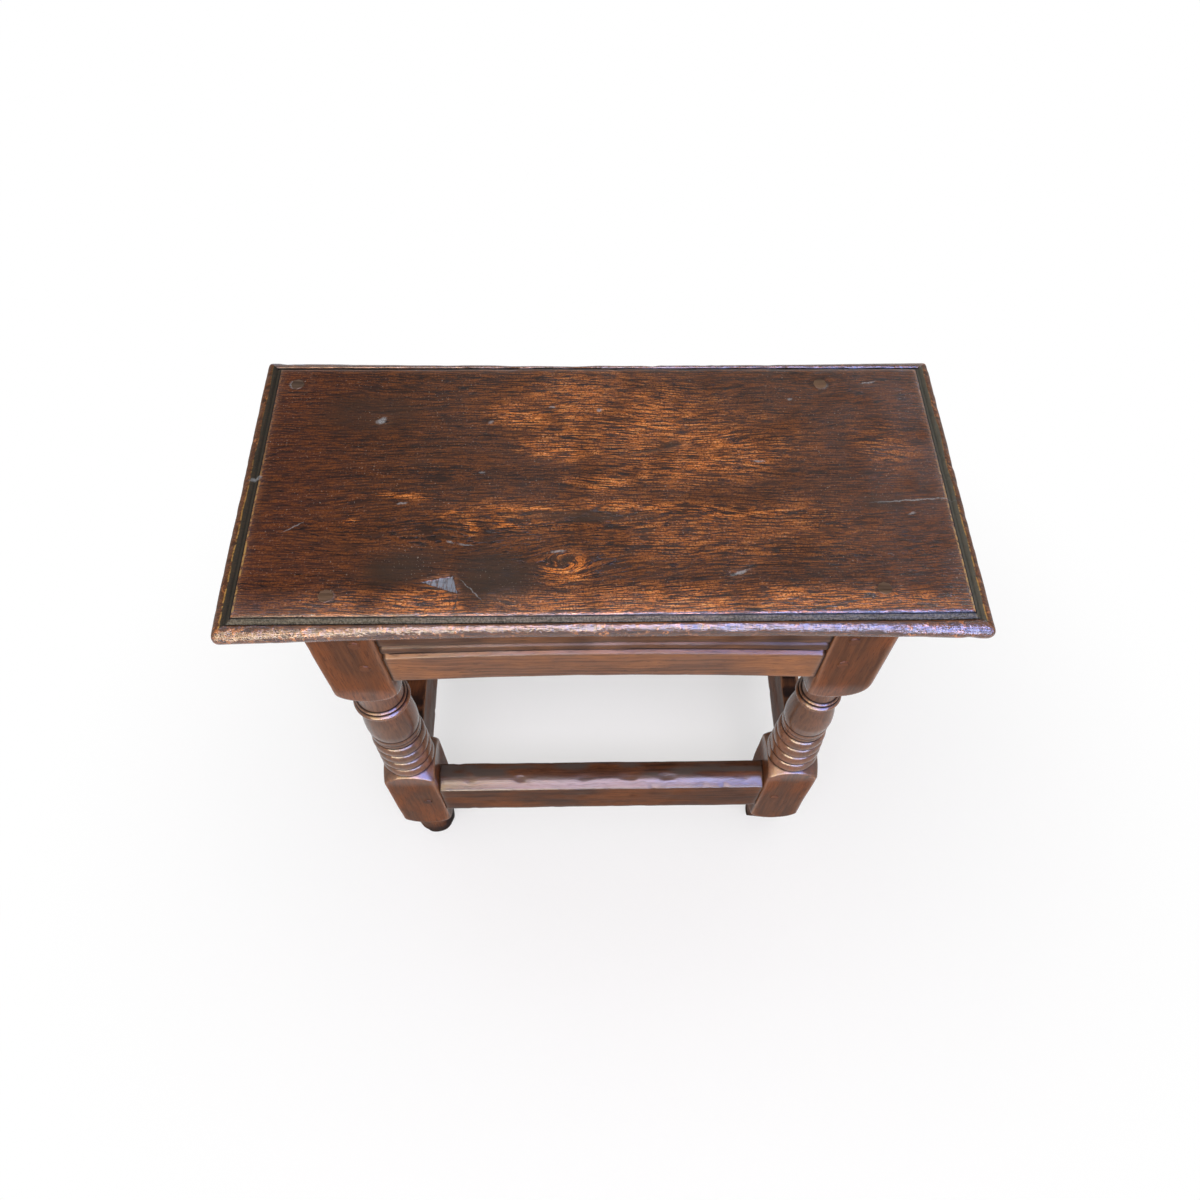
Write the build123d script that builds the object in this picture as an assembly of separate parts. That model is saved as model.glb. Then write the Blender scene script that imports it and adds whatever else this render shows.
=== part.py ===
"""Joint stool: a pegged oak frame of turned legs, rails and box stretchers under a moulded seat board.

Millimetres. X runs along the seat, Y from front to back, Z up.
The origin is on the floor, in the middle of the four feet.

The front and the back frame, each of two legs, a rail and a stretcher, are worked out upright.
Then each is canted, so that the stool stands wider at the floor than under its seat.
"""
import os
from math import cos, hypot, radians, sqrt, tan

from build123d import *

os.makedirs("parts", exist_ok=True)

# ---------------------------------------------------------------- the whole stool
stool_height = 460.0
seat_length = 564.0
seat_depth = 275.0
seat_thickness = 18.0
end_overhang = 53.6  # from the end of the seat to the outer face of the legs
side_overhang = 20.0  # the same at front and back, under the seat
leg_square = 53.6
leg_cant = 3.0  # degrees that the front and the back frame lean in towards the seat

# ---------------------------------------------------------------- seat board
seat_corner_radius = 5.0
mould_width = 17.0  # from the edge of the board to the raised field
slope_width = 4.8  # sloped side of the raised field
slope_drop = 4.0
quirk_width = 1.5  # narrow groove between the slope and the thumb
quirk_drop = 0.7
thumb_crest_drop = 3.6
nose_drop = 11.0  # where the thumb stands furthest out
nose_undercut = 3.5  # how far the thumb turns back under the board
crest_fullness = 0.35  # how full the thumb's curve is above the nose
heel_fullness = 0.42  # and below it
curve_inset = 0.26  # share of the width at which either curve is measured
front_edge_wear = 5.5  # hollow worn into the middle of the front edge
back_edge_wear = 4.5

# ---------------------------------------------------------------- rails under the seat
rail_height = 82.5
rail_thickness = 25.0
rail_setback = 0.8  # the rail's face lies this far behind the face of the leg
rail_arch_rise = 6.0  # lower edge of the long rails rises this much in the middle
rail_arris_radius = 2.5
mould_top_drop = 31.0  # run moulding, measured down from the top of the rail
groove_depth = 2.4  # narrow groove over the ridge
groove_height = 2.8
ridge_height = 8.0  # rounded ridge
ridge_sink = 0.7
hollow_height = 6.5  # hollow under the ridge
hollow_depth = 3.0
hollow_bed_share = 0.35  # how far down the hollow is deepest
allowance = 4.0  # left on at the ends of canted pieces, then trimmed level

# ---------------------------------------------------------------- stretchers near the floor
stretcher_bottom = 87.4
stretcher_height = 58.6
front_stretcher_thickness = 29.5
back_stretcher_thickness = 29.0
left_stretcher_thickness = 32.0
right_stretcher_thickness = 22.0
stretcher_setback = 0.5
foot_wear_width = 19.0  # rounding that feet have worn along the front stretcher's upper edge
foot_wear_drop = 5.0
light_wear_width = 7.0  # the same edge on the other three
light_wear_drop = 1.6

# ---------------------------------------------------------------- turned legs
lathe_clearance = 0.5  # the cut starts this far outside the corners of the square
top_block_length = 93.6  # along the arris, from the seat down
lower_block_bottom = 68.5
lower_block_length = 86.8
shoulder_radius = 20.5  # rounded ends that look down
crown_height = 18.5  # rounded end that looks up, under the rings
neck_radius = 21.5
neck_length = 27.1
collar_fillet = 2.8
collar_fillet_radius = 23.6
collar_bead = 7.4
collar_bead_radius = 26.0
vase_top_radius = 21.8
vase_radius = 25.4
vase_belly_share = 0.72  # how far down the vase its widest place is
vase_waist_fullness = 0.7
vase_foot_radius = 24.9
scribe_count = 2
scribe_pitch = 7.0
scribe_relief = 0.7
ring_count = 4
ring_pitch = 14.8
ring_relief = 2.3
top_ring_radius = 25.5
bottom_ring_radius = 26.6
foot_neck_radius = 18.0
foot_neck_height = 8.4
foot_bevel = 2.0  # short slope from the bun into the foot's neck
foot_bun_radius = 22.5
foot_bun_share = 0.45  # height of its widest place
foot_tip_radius = 20.5
split_run = 24.0  # how far an old split has taken the front of one foot away
slim_leg = "front_right"  # this leg was turned thinner than the others, and off its middle
slim_cut = 4.6  # taken off the radius at its collar, less towards the rings
slim_lean = 0.9  # degrees between its turned part and its blocks

# ---------------------------------------------------------------- mortise and tenon joints
tenon_length = 28.0
tenon_thickness = 9.0
tenon_setin = 12.0  # from the outer face of the leg to the tenon's cheek
rail_upper_shoulder = 18.0
rail_lower_shoulder = 6.0
stretcher_shoulder = 5.0
cheek_clearance = 0.1
end_clearance = 1.0

# ---------------------------------------------------------------- pegs
peg_diameter = 10.0
peg_length = 30.0
peg_proud = 0.8
peg_sides = 8
peg_inset = 17.0  # from the tenon's shoulder
peg_clearance = 0.1
peg_chamfer = 0.9
long_rail_peg_drops = (28.0, 60.0)  # below the seat board
end_rail_peg_drops = (34.0, 54.0)
long_stretcher_peg_drop = 35.0  # below the top of the stretcher
end_stretcher_peg_drop = 22.0
seat_peg_diameter = 11.5
seat_peg_depth = 14.0  # into the top of the leg
seat_peg_sink = 0.4
seat_peg_insets = {  # from the leg's inner face, and from its front or back face
    "front_left": (26.3, 12.9),
    "front_right": (28.1, 16.2),
    "back_right": (7.5, 13.5),
}
plug_inset = (32.3, 33.6)  # a plug in an old hole, from the left end and the back edge of the seat

# ---------------------------------------------------------------- places that follow
seat_underside = stool_height - seat_thickness
rail_bottom = seat_underside - rail_height
stretcher_top = stretcher_bottom + stretcher_height
half_length = seat_length / 2 - end_overhang
half_depth = seat_depth / 2 - side_overhang
leg_axis_x = half_length - leg_square / 2
leg_axis_y = half_depth - leg_square / 2
inner_x = half_length - leg_square
inner_y = half_depth - leg_square
corner_reach = hypot(leg_square, leg_square) / 2
lathe_radius = corner_reach + lathe_clearance
margin = 5.0  # how far a cutter reaches past what it cuts
plug_place = (plug_inset[0] - seat_length / 2, seat_depth / 2 - plug_inset[1])

corners = {
    "front_left": (-1, -1),
    "front_right": (1, -1),
    "back_left": (-1, 1),
    "back_right": (1, 1),
}


def canted(side_y):
    """Turns a piece of the upright front (-1) or back (1) frame into its canted place."""
    there = Pos(0, side_y * half_depth, seat_underside)
    return there * Rot(side_y * leg_cant, 0, 0) * Pos(0, -side_y * half_depth, -seat_underside)


def inner_face(height):
    """Distance from the middle plane to the inner face of a canted leg, at a height."""
    drop = seat_underside - height
    return half_depth + drop * tan(radians(leg_cant)) - leg_square / cos(radians(leg_cant))


def seat_peg_place(name):
    """Where the seat peg of one leg goes down through the board."""
    side_x, side_y = corners[name]
    along, across = seat_peg_insets[name]
    return side_x * (inner_x + along), side_y * (half_depth - across)


def span_box(low, high):
    """A box between two corners."""
    size = [b - a for a, b in zip(low, high)]
    middle = [(a + b) / 2 for a, b in zip(low, high)]
    return Pos(*middle) * Box(*size)


def level_trim(shape):
    """Cut off what stands under the floor or above the underside of the seat."""
    return shape & span_box(
        (-seat_length, -seat_length, 0),
        (seat_length, seat_length, seat_underside),
    )


def save(shape, name):
    """Write one node, and say what it weighs as geometry."""
    shape.label = name
    export_step(shape, f"parts/{name}.step")
    print(f"{name:28s} {len(shape.solids())} solid(s) {shape.volume / 1000:9.2f} cm3")


# ---------------------------------------------------------------- seat board
def edge_waste():
    """What a moulding plane takes off an edge; the edge of the board is at 0, the board at +X."""
    slope_foot = mould_width - slope_width
    quirk = (slope_foot - quirk_width / 2, -slope_drop - quirk_drop)
    crest = (slope_foot - quirk_width, -thumb_crest_drop)
    nose = (0, -nose_drop)
    heel = (nose_undercut, -seat_thickness)
    crest_side = (crest[0] * curve_inset, crest[1] - (nose_drop - thumb_crest_drop) * crest_fullness)
    heel_side = (heel[0] * curve_inset, heel[1] + (seat_thickness - nose_drop) * heel_fullness)
    outline = [
        Line((mould_width, 0), (slope_foot, -slope_drop)),
        Line((slope_foot, -slope_drop), quirk),
        Line(quirk, crest),
        ThreePointArc(crest, crest_side, nose),
        ThreePointArc(nose, heel_side, heel),
        Line(heel, (nose_undercut, -seat_thickness - margin)),
        Line((nose_undercut, -seat_thickness - margin), (-margin, -seat_thickness - margin)),
        Line((-margin, -seat_thickness - margin), (-margin, margin)),
        Line((-margin, margin), (mould_width, margin)),
        Line((mould_width, margin), (mould_width, 0)),
    ]
    return make_face(outline)


def arc_radius(chord, rise):
    """Radius of the arc that rises this much over a chord."""
    return chord * chord / (8 * rise) + rise / 2


def moulding_waste(length):
    """The waste along an edge that runs along Y, centred."""
    section = Plane.XZ * edge_waste()
    return Pos(0, length / 2, 0) * extrude(section, length, dir=(0, -1, 0))


def wear_waste(length, wear):
    """A far, wide drum that presses a shallow hollow into the middle of an edge."""
    radius = arc_radius(length, wear)
    return Pos(wear - radius, 0, -seat_thickness / 2) * Cylinder(radius, seat_thickness + 2 * margin)


def seat_board():
    """One wide board with a thumb moulding on all four edges, mitred at the corners."""
    board = span_box(
        (-seat_length / 2, -seat_depth / 2, seat_underside),
        (seat_length / 2, seat_depth / 2, stool_height),
    )
    left = Pos(-seat_length / 2, 0, stool_height)
    right = Pos(seat_length / 2, 0, stool_height) * Rot(0, 0, 180)
    front = Pos(0, -seat_depth / 2, stool_height) * Rot(0, 0, 90)
    back = Pos(0, seat_depth / 2, stool_height) * Rot(0, 0, -90)
    for edge, length in ((left, seat_depth), (right, seat_depth), (front, seat_length), (back, seat_length)):
        board -= edge * moulding_waste(length + 2 * margin)
    board -= front * wear_waste(seat_length, front_edge_wear)
    board -= back * wear_waste(seat_length, back_edge_wear)
    outline = RectangleRounded(seat_length, seat_depth, seat_corner_radius)
    board &= Pos(0, 0, seat_underside) * extrude(outline, seat_thickness)
    for place in [seat_peg_place(name) for name in seat_peg_insets] + [plug_place]:
        board -= Pos(*place, seat_underside - margin) * seat_peg_hole(seat_thickness + 2 * margin)
    return board


def seat_peg_hole(height):
    """Hole for a seat peg, going up from 0, with the sides that the driven peg presses into it."""
    return extrude(RegularPolygon(seat_peg_diameter / 2 + peg_clearance, peg_sides), height)


# ---------------------------------------------------------------- legs
def line_to(outline, radius, height):
    """Add a straight cut to a turned outline."""
    outline.append(Line(outline[-1] @ 1, (radius, height)))


def ring(outline, height, relief, end_radius):
    """Add a ring that was turned with two slanting cuts, going up."""
    start = outline[-1] @ 1
    line_to(outline, (start.X + end_radius) / 2 + relief, start.Y + height / 2)
    line_to(outline, end_radius, start.Y + height)


def rounded_end(outline, end_radius, height):
    """Add the rounded lower end of a block as two chords of its arc, going up to its full width."""
    start = outline[-1] @ 1
    line_to(outline, start.X + (end_radius - start.X) * sqrt(0.5), start.Y + height * (1 - sqrt(0.5)))
    line_to(outline, end_radius, start.Y + height)


def turned_envelope(slim=0.0):
    """What the lathe leaves: foot, block, rings, vase, collar, neck and block, from the floor up."""
    centre_radius = lathe_radius - shoulder_radius
    foot_rise = sqrt(shoulder_radius**2 - (foot_neck_radius - centre_radius) ** 2)
    neck_rise = sqrt(shoulder_radius**2 - (neck_radius - centre_radius) ** 2)
    foot_top = lower_block_bottom - foot_rise - foot_neck_height
    crown_at = lower_block_bottom + lower_block_length
    top_at = seat_underside - top_block_length
    collar_top = top_at - neck_rise - neck_length
    collar_bottom = collar_top - 2 * collar_fillet - collar_bead
    ring_root = bottom_ring_radius - ring_relief
    taper = (bottom_ring_radius - top_ring_radius) / ring_count
    clear_of_block = lathe_radius + margin

    outline = [Line((0, -margin), (foot_tip_radius, -margin))]
    line_to(outline, foot_tip_radius, 0)
    line_to(outline, foot_bun_radius, foot_top * foot_bun_share)
    line_to(outline, foot_tip_radius, foot_top)
    line_to(outline, foot_neck_radius, foot_top + foot_bevel)
    line_to(outline, foot_neck_radius, foot_top + foot_neck_height)
    rounded_end(outline, lathe_radius, foot_rise)
    line_to(outline, clear_of_block, lower_block_bottom)
    line_to(outline, clear_of_block, crown_at)
    line_to(outline, lathe_radius, crown_at)
    line_to(outline, ring_root + (lathe_radius - ring_root) * sqrt(0.5), crown_at + crown_height / 2)
    line_to(outline, ring_root, crown_at + crown_height)

    for number in range(1, ring_count + 1):
        thinner = slim * number / (2 * ring_count)
        ring(outline, ring_pitch, ring_relief, ring_root - taper * number - thinner)
    scribe_root = vase_foot_radius - scribe_relief - slim / 2
    line_to(outline, scribe_root, (outline[-1] @ 1).Y)
    for _ in range(scribe_count):
        ring(outline, scribe_pitch, scribe_relief, scribe_root)

    vase_bottom = (outline[-1] @ 1).Y
    belly = vase_bottom + (1 - vase_belly_share) * (collar_bottom - vase_bottom)
    waist = (vase_radius + vase_top_radius) / 2 + vase_waist_fullness
    line_to(outline, vase_radius - slim / 2, belly)
    line_to(outline, waist - slim * 0.75, (belly + collar_bottom) / 2)
    line_to(outline, vase_top_radius - slim, collar_bottom)
    line_to(outline, collar_fillet_radius - slim, collar_bottom)
    line_to(outline, collar_fillet_radius - slim, collar_bottom + collar_fillet)
    ring(outline, collar_bead, collar_bead_radius - collar_fillet_radius, collar_fillet_radius - slim)
    line_to(outline, collar_fillet_radius - slim, collar_top)
    line_to(outline, neck_radius - slim, collar_top)
    line_to(outline, neck_radius - slim, top_at - neck_rise)
    rounded_end(outline, lathe_radius, neck_rise)
    line_to(outline, clear_of_block, top_at)
    line_to(outline, clear_of_block, seat_underside + margin)
    line_to(outline, 0, seat_underside + margin)
    line_to(outline, 0, -margin)
    return revolve(Plane.XZ * make_face(outline), Axis.Z)


def leg(name):
    """Square stock, turned between its two blocks, canted, cut level, then mortised and bored."""
    side_x, side_y = corners[name]
    stock = span_box(
        (-leg_square / 2, -leg_square / 2, -margin),
        (leg_square / 2, leg_square / 2, seat_underside + margin),
    )
    if name == slim_leg:
        turning = Pos(0, 0, lower_block_bottom) * Rot(0, -side_x * slim_lean, 0)
        stock &= turning * Pos(0, 0, -lower_block_bottom) * turned_envelope(slim_cut)
    else:
        stock &= turned_envelope()
    body = Pos(side_x * leg_axis_x, side_y * leg_axis_y, 0) * stock
    for member in ("rail", "stretcher"):
        body -= long_tenon(member, side_x, side_y, cheek_clearance, end_clearance)
        for hole in long_pegs(name, member, hole=True):
            body -= hole
    if name == slim_leg:
        body = split_foot(body)
    body = level_trim(canted(side_y) * body)
    for member in ("rail", "stretcher"):
        body -= end_tenon(member, side_x, side_y, cheek_clearance, end_clearance)
        for hole in end_pegs(name, member, hole=True):
            body -= hole
    if name in seat_peg_insets:
        foot = seat_underside - seat_peg_depth - peg_clearance
        body -= Pos(*seat_peg_place(name), foot) * seat_peg_hole(seat_peg_depth + margin)
    return body


def split_foot(body):
    """One front foot has lost its front half to an old split, from the block down to the floor."""
    block_foot = lower_block_bottom - shoulder_radius
    side = [
        (-half_depth - margin, -2 * margin),
        (-half_depth - margin, block_foot),
        (-half_depth, block_foot),
        (-half_depth + split_run, 0),
        (-half_depth + split_run, -2 * margin),
    ]
    face = Plane.YZ * make_face(Polyline(*side, close=True))
    wedge = extrude(face, leg_square + 2 * margin)
    return body - Pos(inner_x - margin, 0, 0) * wedge


# ---------------------------------------------------------------- joints
def tenon_heights(member):
    """Lower and upper edge of the tenons of a rail or a stretcher."""
    if member == "rail":
        return rail_bottom + rail_lower_shoulder, seat_underside - rail_upper_shoulder
    return stretcher_bottom + stretcher_shoulder, stretcher_top - foot_wear_drop - stretcher_shoulder


def long_tenon(member, side_x, side_y, cheek=0.0, end=0.0):
    """Tenon at one end of a long rail or stretcher, upright; with clearances it is the mortise."""
    low, high = tenon_heights(member)
    outer = half_depth - tenon_setin
    x = sorted((side_x * inner_x, side_x * (inner_x + tenon_length + end)))
    y = sorted((side_y * (outer + cheek), side_y * (outer - tenon_thickness - cheek)))
    return span_box((x[0], y[0], low - cheek), (x[1], y[1], high + cheek))


def end_tenon(member, side_x, side_y, cheek=0.0, end=0.0):
    """Tenon of an end rail or stretcher, level; with clearances it is the mortise."""
    low, high = tenon_heights(member)
    outer = half_length - tenon_setin
    root = inner_face(high) - allowance
    tip = inner_face((low + high) / 2) + tenon_length + end
    x = sorted((side_x * (outer + cheek), side_x * (outer - tenon_thickness - cheek)))
    y = sorted((side_y * root, side_y * tip))
    return span_box((x[0], y[0], low - cheek), (x[1], y[1], high + cheek))


def between_legs(body):
    """Cut the ends of an end rail or stretcher to the slant of the canted legs."""
    for side_y in (-1, 1):
        y = sorted((side_y * inner_y, side_y * seat_length))
        slab = span_box((-seat_length, y[0], -stool_height), (seat_length, y[1], 2 * stool_height))
        body -= canted(side_y) * slab
    return body


# ---------------------------------------------------------------- pegs
def peg(hole):
    """A peg along +X from its tip at 0 to its head, or the hole that it has pressed its sides into."""
    if hole:
        bore = RegularPolygon(peg_diameter / 2 + peg_clearance, peg_sides)
        return extrude(Plane.YZ * bore, peg_length + margin)
    shank = extrude(Plane.YZ * RegularPolygon(peg_diameter / 2, peg_sides), peg_length + peg_proud)
    shank = Pos(peg_clearance, 0, 0) * shank
    return chamfer(shank.faces().sort_by(Axis.X)[-1].edges(), peg_chamfer)


def long_pegs(name, member, hole=False):
    """The pegs, or their holes, that lock a long rail or stretcher into one leg, upright."""
    side_x, side_y = corners[name]
    if member == "rail":
        heights = [seat_underside - drop for drop in long_rail_peg_drops]
    else:
        heights = [stretcher_top - long_stretcher_peg_drop]
    at = (side_x * (inner_x + peg_inset), side_y * (half_depth - peg_length))
    return [Pos(*at, height) * Rot(0, 0, side_y * 90) * peg(hole) for height in heights]


def end_pegs(name, member, hole=False):
    """The pegs, or their holes, that lock an end rail or stretcher into one canted leg."""
    side_x, side_y = corners[name]
    if member == "rail":
        heights = [seat_underside - drop for drop in end_rail_peg_drops]
    else:
        heights = [stretcher_top - end_stretcher_peg_drop]
    x = side_x * (half_length - peg_length)
    turn = Rot(0, 0, 90 - side_x * 90)
    return [Pos(x, side_y * (inner_face(z) + peg_inset), z) * turn * peg(hole) for z in heights]


def peg_set(name, member):
    """Every peg that locks the rails or the stretchers into one leg, in place."""
    side_y = corners[name][1]
    return [canted(side_y) * one for one in long_pegs(name, member)] + end_pegs(name, member)


def seat_peg(length):
    """A peg driven down through the seat board, its foot at 0."""
    shank = extrude(RegularPolygon(seat_peg_diameter / 2, peg_sides), length)
    return chamfer(shank.faces().sort_by(Axis.Z)[-1].edges(), peg_chamfer / 2)


# ---------------------------------------------------------------- rails
def rail_section():
    """Cross-section of a rail: outer face at 0, body at +X, top edge at 0, run moulding on the face."""
    groove_top = -mould_top_drop
    ridge_top = groove_top - groove_height
    ridge_foot = ridge_top - ridge_height
    hollow_foot = ridge_foot - hollow_height
    hollow_bed = (hollow_depth, ridge_foot - hollow_height * hollow_bed_share)
    outline = [
        Line((0, allowance), (0, groove_top)),
        Line((0, groove_top), (groove_depth, groove_top - groove_height / 2)),
        Line((groove_depth, groove_top - groove_height / 2), (ridge_sink, ridge_top)),
        ThreePointArc((ridge_sink, ridge_top), (0, (ridge_top + ridge_foot) / 2), (ridge_sink, ridge_foot)),
        Line((ridge_sink, ridge_foot), hollow_bed),
        Line(hollow_bed, (0, hollow_foot)),
        Line((0, hollow_foot), (0, -rail_height)),
        Line((0, -rail_height), (rail_thickness, -rail_height)),
        Line((rail_thickness, -rail_height), (rail_thickness, allowance)),
        Line((rail_thickness, allowance), (0, allowance)),
    ]
    return make_face(outline)


def moulded_rail(length):
    """A rail between two legs, its face at x = 0 and its length along Y, centred."""
    section = Plane.XZ * rail_section()
    return Pos(0, length / 2, seat_underside) * extrude(section, length, dir=(0, -1, 0))


def arched(body, length):
    """Cut the lower edge of a long rail to a flat arch from leg to leg."""
    radius = arc_radius(length, rail_arch_rise)
    centre_height = rail_bottom + rail_arch_rise - radius
    drum = Pos(rail_thickness / 2, 0, centre_height) * Rot(0, 90, 0)
    body -= drum * Cylinder(radius, rail_thickness + 2 * margin)
    low_edges = body.edges().filter_by(GeomType.CIRCLE).group_by(Axis.X)[0]
    arch_edge = [edge for edge in low_edges if abs(edge.radius - radius) < 1]
    return fillet(arch_edge, rail_arris_radius)


def long_member(body, member, side_y, setback):
    """Put a rail or stretcher into the front or back frame, tenon and bore it, and cant it."""
    body = Pos(0, side_y * (half_depth - setback), 0) * Rot(0, 0, -side_y * 90) * body
    for side_x in (-1, 1):
        body += long_tenon(member, side_x, side_y)
    for name in corners:
        if corners[name][1] == side_y:
            for hole in long_pegs(name, member, hole=True):
                body -= hole
    return level_trim(canted(side_y) * body)


def end_member(body, member, side_x, setback):
    """Fit a rail or stretcher between the canted legs of one end, tenon and bore it."""
    body = Pos(side_x * (half_length - setback), 0, 0) * Rot(0, 0, 90 + side_x * 90) * body
    body = level_trim(between_legs(body))
    for side_y in (-1, 1):
        body += end_tenon(member, side_x, side_y)
    for name in corners:
        if corners[name][0] == side_x:
            for hole in end_pegs(name, member, hole=True):
                body -= hole
    return body


def long_rail(side_y):
    """Front or back rail with its two tenons."""
    length = 2 * inner_x
    return long_member(arched(moulded_rail(length), length), "rail", side_y, rail_setback)


def end_rail(side_x):
    """Left or right rail with its two tenons."""
    body = moulded_rail(2 * (inner_face(rail_bottom) + allowance))
    return end_member(body, "rail", side_x, rail_setback)


# ---------------------------------------------------------------- stretchers
def stretcher_bar(length, thickness, wear_width, wear_drop):
    """A stretcher with its outer face at x = 0, its upper outer edge worn round by feet."""
    outline = [
        Line((0, -wear_drop), (0, -stretcher_height)),
        Line((0, -stretcher_height), (thickness, -stretcher_height)),
        Line((thickness, -stretcher_height), (thickness, 0)),
        Line((thickness, 0), (wear_width, 0)),
        TangentArc((wear_width, 0), (0, -wear_drop), tangent=(-1, 0)),
    ]
    section = Plane.XZ * make_face(outline)
    return Pos(0, length / 2, stretcher_top) * extrude(section, length, dir=(0, -1, 0))


def long_stretcher(side_y, thickness, wear):
    """Front or back stretcher with its two tenons."""
    body = stretcher_bar(2 * inner_x, thickness, *wear)
    return long_member(body, "stretcher", side_y, stretcher_setback)


def end_stretcher(side_x, thickness, wear):
    """Left or right stretcher with its two tenons."""
    body = stretcher_bar(2 * (inner_face(stretcher_bottom) + allowance), thickness, *wear)
    return end_member(body, "stretcher", side_x, stretcher_setback)


# ---------------------------------------------------------------- build every node
save(seat_board(), "seat_board")

for corner in corners:
    save(leg(corner), f"leg_{corner}")
    save(Compound(children=peg_set(corner, "rail")), f"rail_pegs_{corner}")
    save(Compound(children=peg_set(corner, "stretcher")), f"stretcher_pegs_{corner}")

save(long_rail(-1), "rail_front")
save(long_rail(1), "rail_back")
save(end_rail(-1), "rail_left")
save(end_rail(1), "rail_right")

foot_wear = (foot_wear_width, foot_wear_drop)
light_wear = (light_wear_width, light_wear_drop)
save(long_stretcher(-1, front_stretcher_thickness, foot_wear), "stretcher_front")
save(long_stretcher(1, back_stretcher_thickness, light_wear), "stretcher_back")
save(end_stretcher(-1, left_stretcher_thickness, light_wear), "stretcher_left")
save(end_stretcher(1, right_stretcher_thickness, light_wear), "stretcher_right")

long_peg = seat_thickness + seat_peg_depth - seat_peg_sink
for corner in seat_peg_insets:
    foot = Pos(*seat_peg_place(corner), seat_underside - seat_peg_depth)
    save(foot * seat_peg(long_peg), f"seat_peg_{corner}")
plug = Pos(*plug_place, seat_underside) * seat_peg(seat_thickness - seat_peg_sink)
save(plug, "seat_plug_back_left")
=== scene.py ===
# %% [markdown]
# # A joint stool in aged oak
# A joint stool is a pegged frame of four turned legs, four rails and four stretchers under one
# moulded board. This lesson dresses the measured solids as a piece of furniture some centuries old:
# arrises rubbed round, turnings polished by hands, dirt in every groove and grain that shows through
# dark wax. The solids come in first, as a fixed frame that nothing here moves.

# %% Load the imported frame
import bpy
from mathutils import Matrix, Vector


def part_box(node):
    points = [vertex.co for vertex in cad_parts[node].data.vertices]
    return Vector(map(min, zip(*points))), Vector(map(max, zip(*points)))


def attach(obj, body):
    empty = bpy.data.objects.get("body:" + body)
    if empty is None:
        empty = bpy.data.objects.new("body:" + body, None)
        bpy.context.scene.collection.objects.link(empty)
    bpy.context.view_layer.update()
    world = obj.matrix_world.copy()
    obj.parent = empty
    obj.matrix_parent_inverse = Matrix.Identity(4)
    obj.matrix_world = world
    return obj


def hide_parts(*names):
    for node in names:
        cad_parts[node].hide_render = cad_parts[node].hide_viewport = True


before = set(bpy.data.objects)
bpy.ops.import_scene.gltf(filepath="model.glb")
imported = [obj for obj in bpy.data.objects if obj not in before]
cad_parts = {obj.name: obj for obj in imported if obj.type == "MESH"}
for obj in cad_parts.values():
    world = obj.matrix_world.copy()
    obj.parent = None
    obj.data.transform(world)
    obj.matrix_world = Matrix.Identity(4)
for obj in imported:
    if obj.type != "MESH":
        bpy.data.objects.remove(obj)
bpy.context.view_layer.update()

# %% Tools and units
from itertools import product
from math import cos, pi, radians, sin, tan

import bmesh
import bpy
import numpy as np
from mathutils import Matrix, Vector

MM = 0.001
scene = bpy.context.scene
scene.view_settings.view_transform = "Standard"
seat_low, seat_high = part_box("seat_board")
leg_low, leg_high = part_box("leg_front_left")


def as_mesh(shape, name):
    """Turn a bmesh into a mesh of this name."""
    mesh = bpy.data.meshes.new(name)
    shape.to_mesh(mesh)
    shape.free()
    return mesh


print("seat board, mm:", [round(side / MM, 1) for side in seat_high - seat_low])

# %% [markdown]
# ## The camera
# The stool is looked at from a standing person's height, close by and steeply from above, with a wide
# lens, so the board looms large and the legs draw together towards the floor. Three angles turn the
# camera: its heading, how far it is tipped up from looking straight down, and a slight roll. A small
# lens shift keeps the stool in the middle of the picture without turning the camera further.

# %% Camera
camera_place = Vector((-0.01454, -0.43502, 0.93317))
camera_heading = radians(-3.1676)
camera_tip = radians(24.196)
camera_roll = radians(2.2339)
image_size = 1200
focal_pixels = 787.67
picture_centre = (605.97, 743.06)
sensor_width = 36.0

camera = bpy.data.objects.new("camera", bpy.data.cameras.new("camera"))
scene.collection.objects.link(camera)
scene.camera = camera
turn = Matrix.Rotation(camera_heading, 4, "Z") @ Matrix.Rotation(camera_tip, 4, "X")
camera.matrix_world = Matrix.Translation(camera_place) @ turn @ Matrix.Rotation(camera_roll, 4, "Z")
camera.data.sensor_width = sensor_width
camera.data.lens = focal_pixels / image_size * sensor_width
camera.data.shift_x = 0.5 - picture_centre[0] / image_size
camera.data.shift_y = picture_centre[1] / image_size - 0.5
print("lens, mm:", round(camera.data.lens, 2))

# %% [markdown]
# ## Nodes and colours
# Every material below is a graph of nodes. One helper adds a node, sets it up and links it, and hands
# back the output to use next. Colours are written as the sRGB values that a paint picker shows, and
# one function turns them into the linear values that the renderer works with. What shows where is a
# mask: values between 0 and 1 that are multiplied, most of them smooth steps of a pattern.

# %% Helpers for materials
def add(tree, kind, inputs=None, output=0, **settings):
    """Add a node, set it up, feed its inputs with links or values, and give back one of its outputs."""
    node = tree.nodes.new("ShaderNode" + kind)
    for name, value in settings.items():
        setattr(node, name, value)
    for name, value in (inputs or {}).items():
        if isinstance(value, bpy.types.NodeSocket):
            tree.links.new(value, node.inputs[name])
        else:
            node.inputs[name].default_value = value
    return None if output is None else node.outputs[output]


def linear(hex_colour):
    """An sRGB colour such as #6b4a32 as linear red, green, blue and alpha."""
    channels = [int(hex_colour[at:at + 2], 16) / 255 for at in (1, 3, 5)]
    return [c / 12.92 if c <= 0.04045 else ((c + 0.055) / 1.055) ** 2.4 for c in channels] + [1.0]


def new_material(name):
    """An empty node material and its tree."""
    material = bpy.data.materials.new(name)
    material.use_nodes = True
    material.node_tree.nodes.clear()
    return material, material.node_tree


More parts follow.
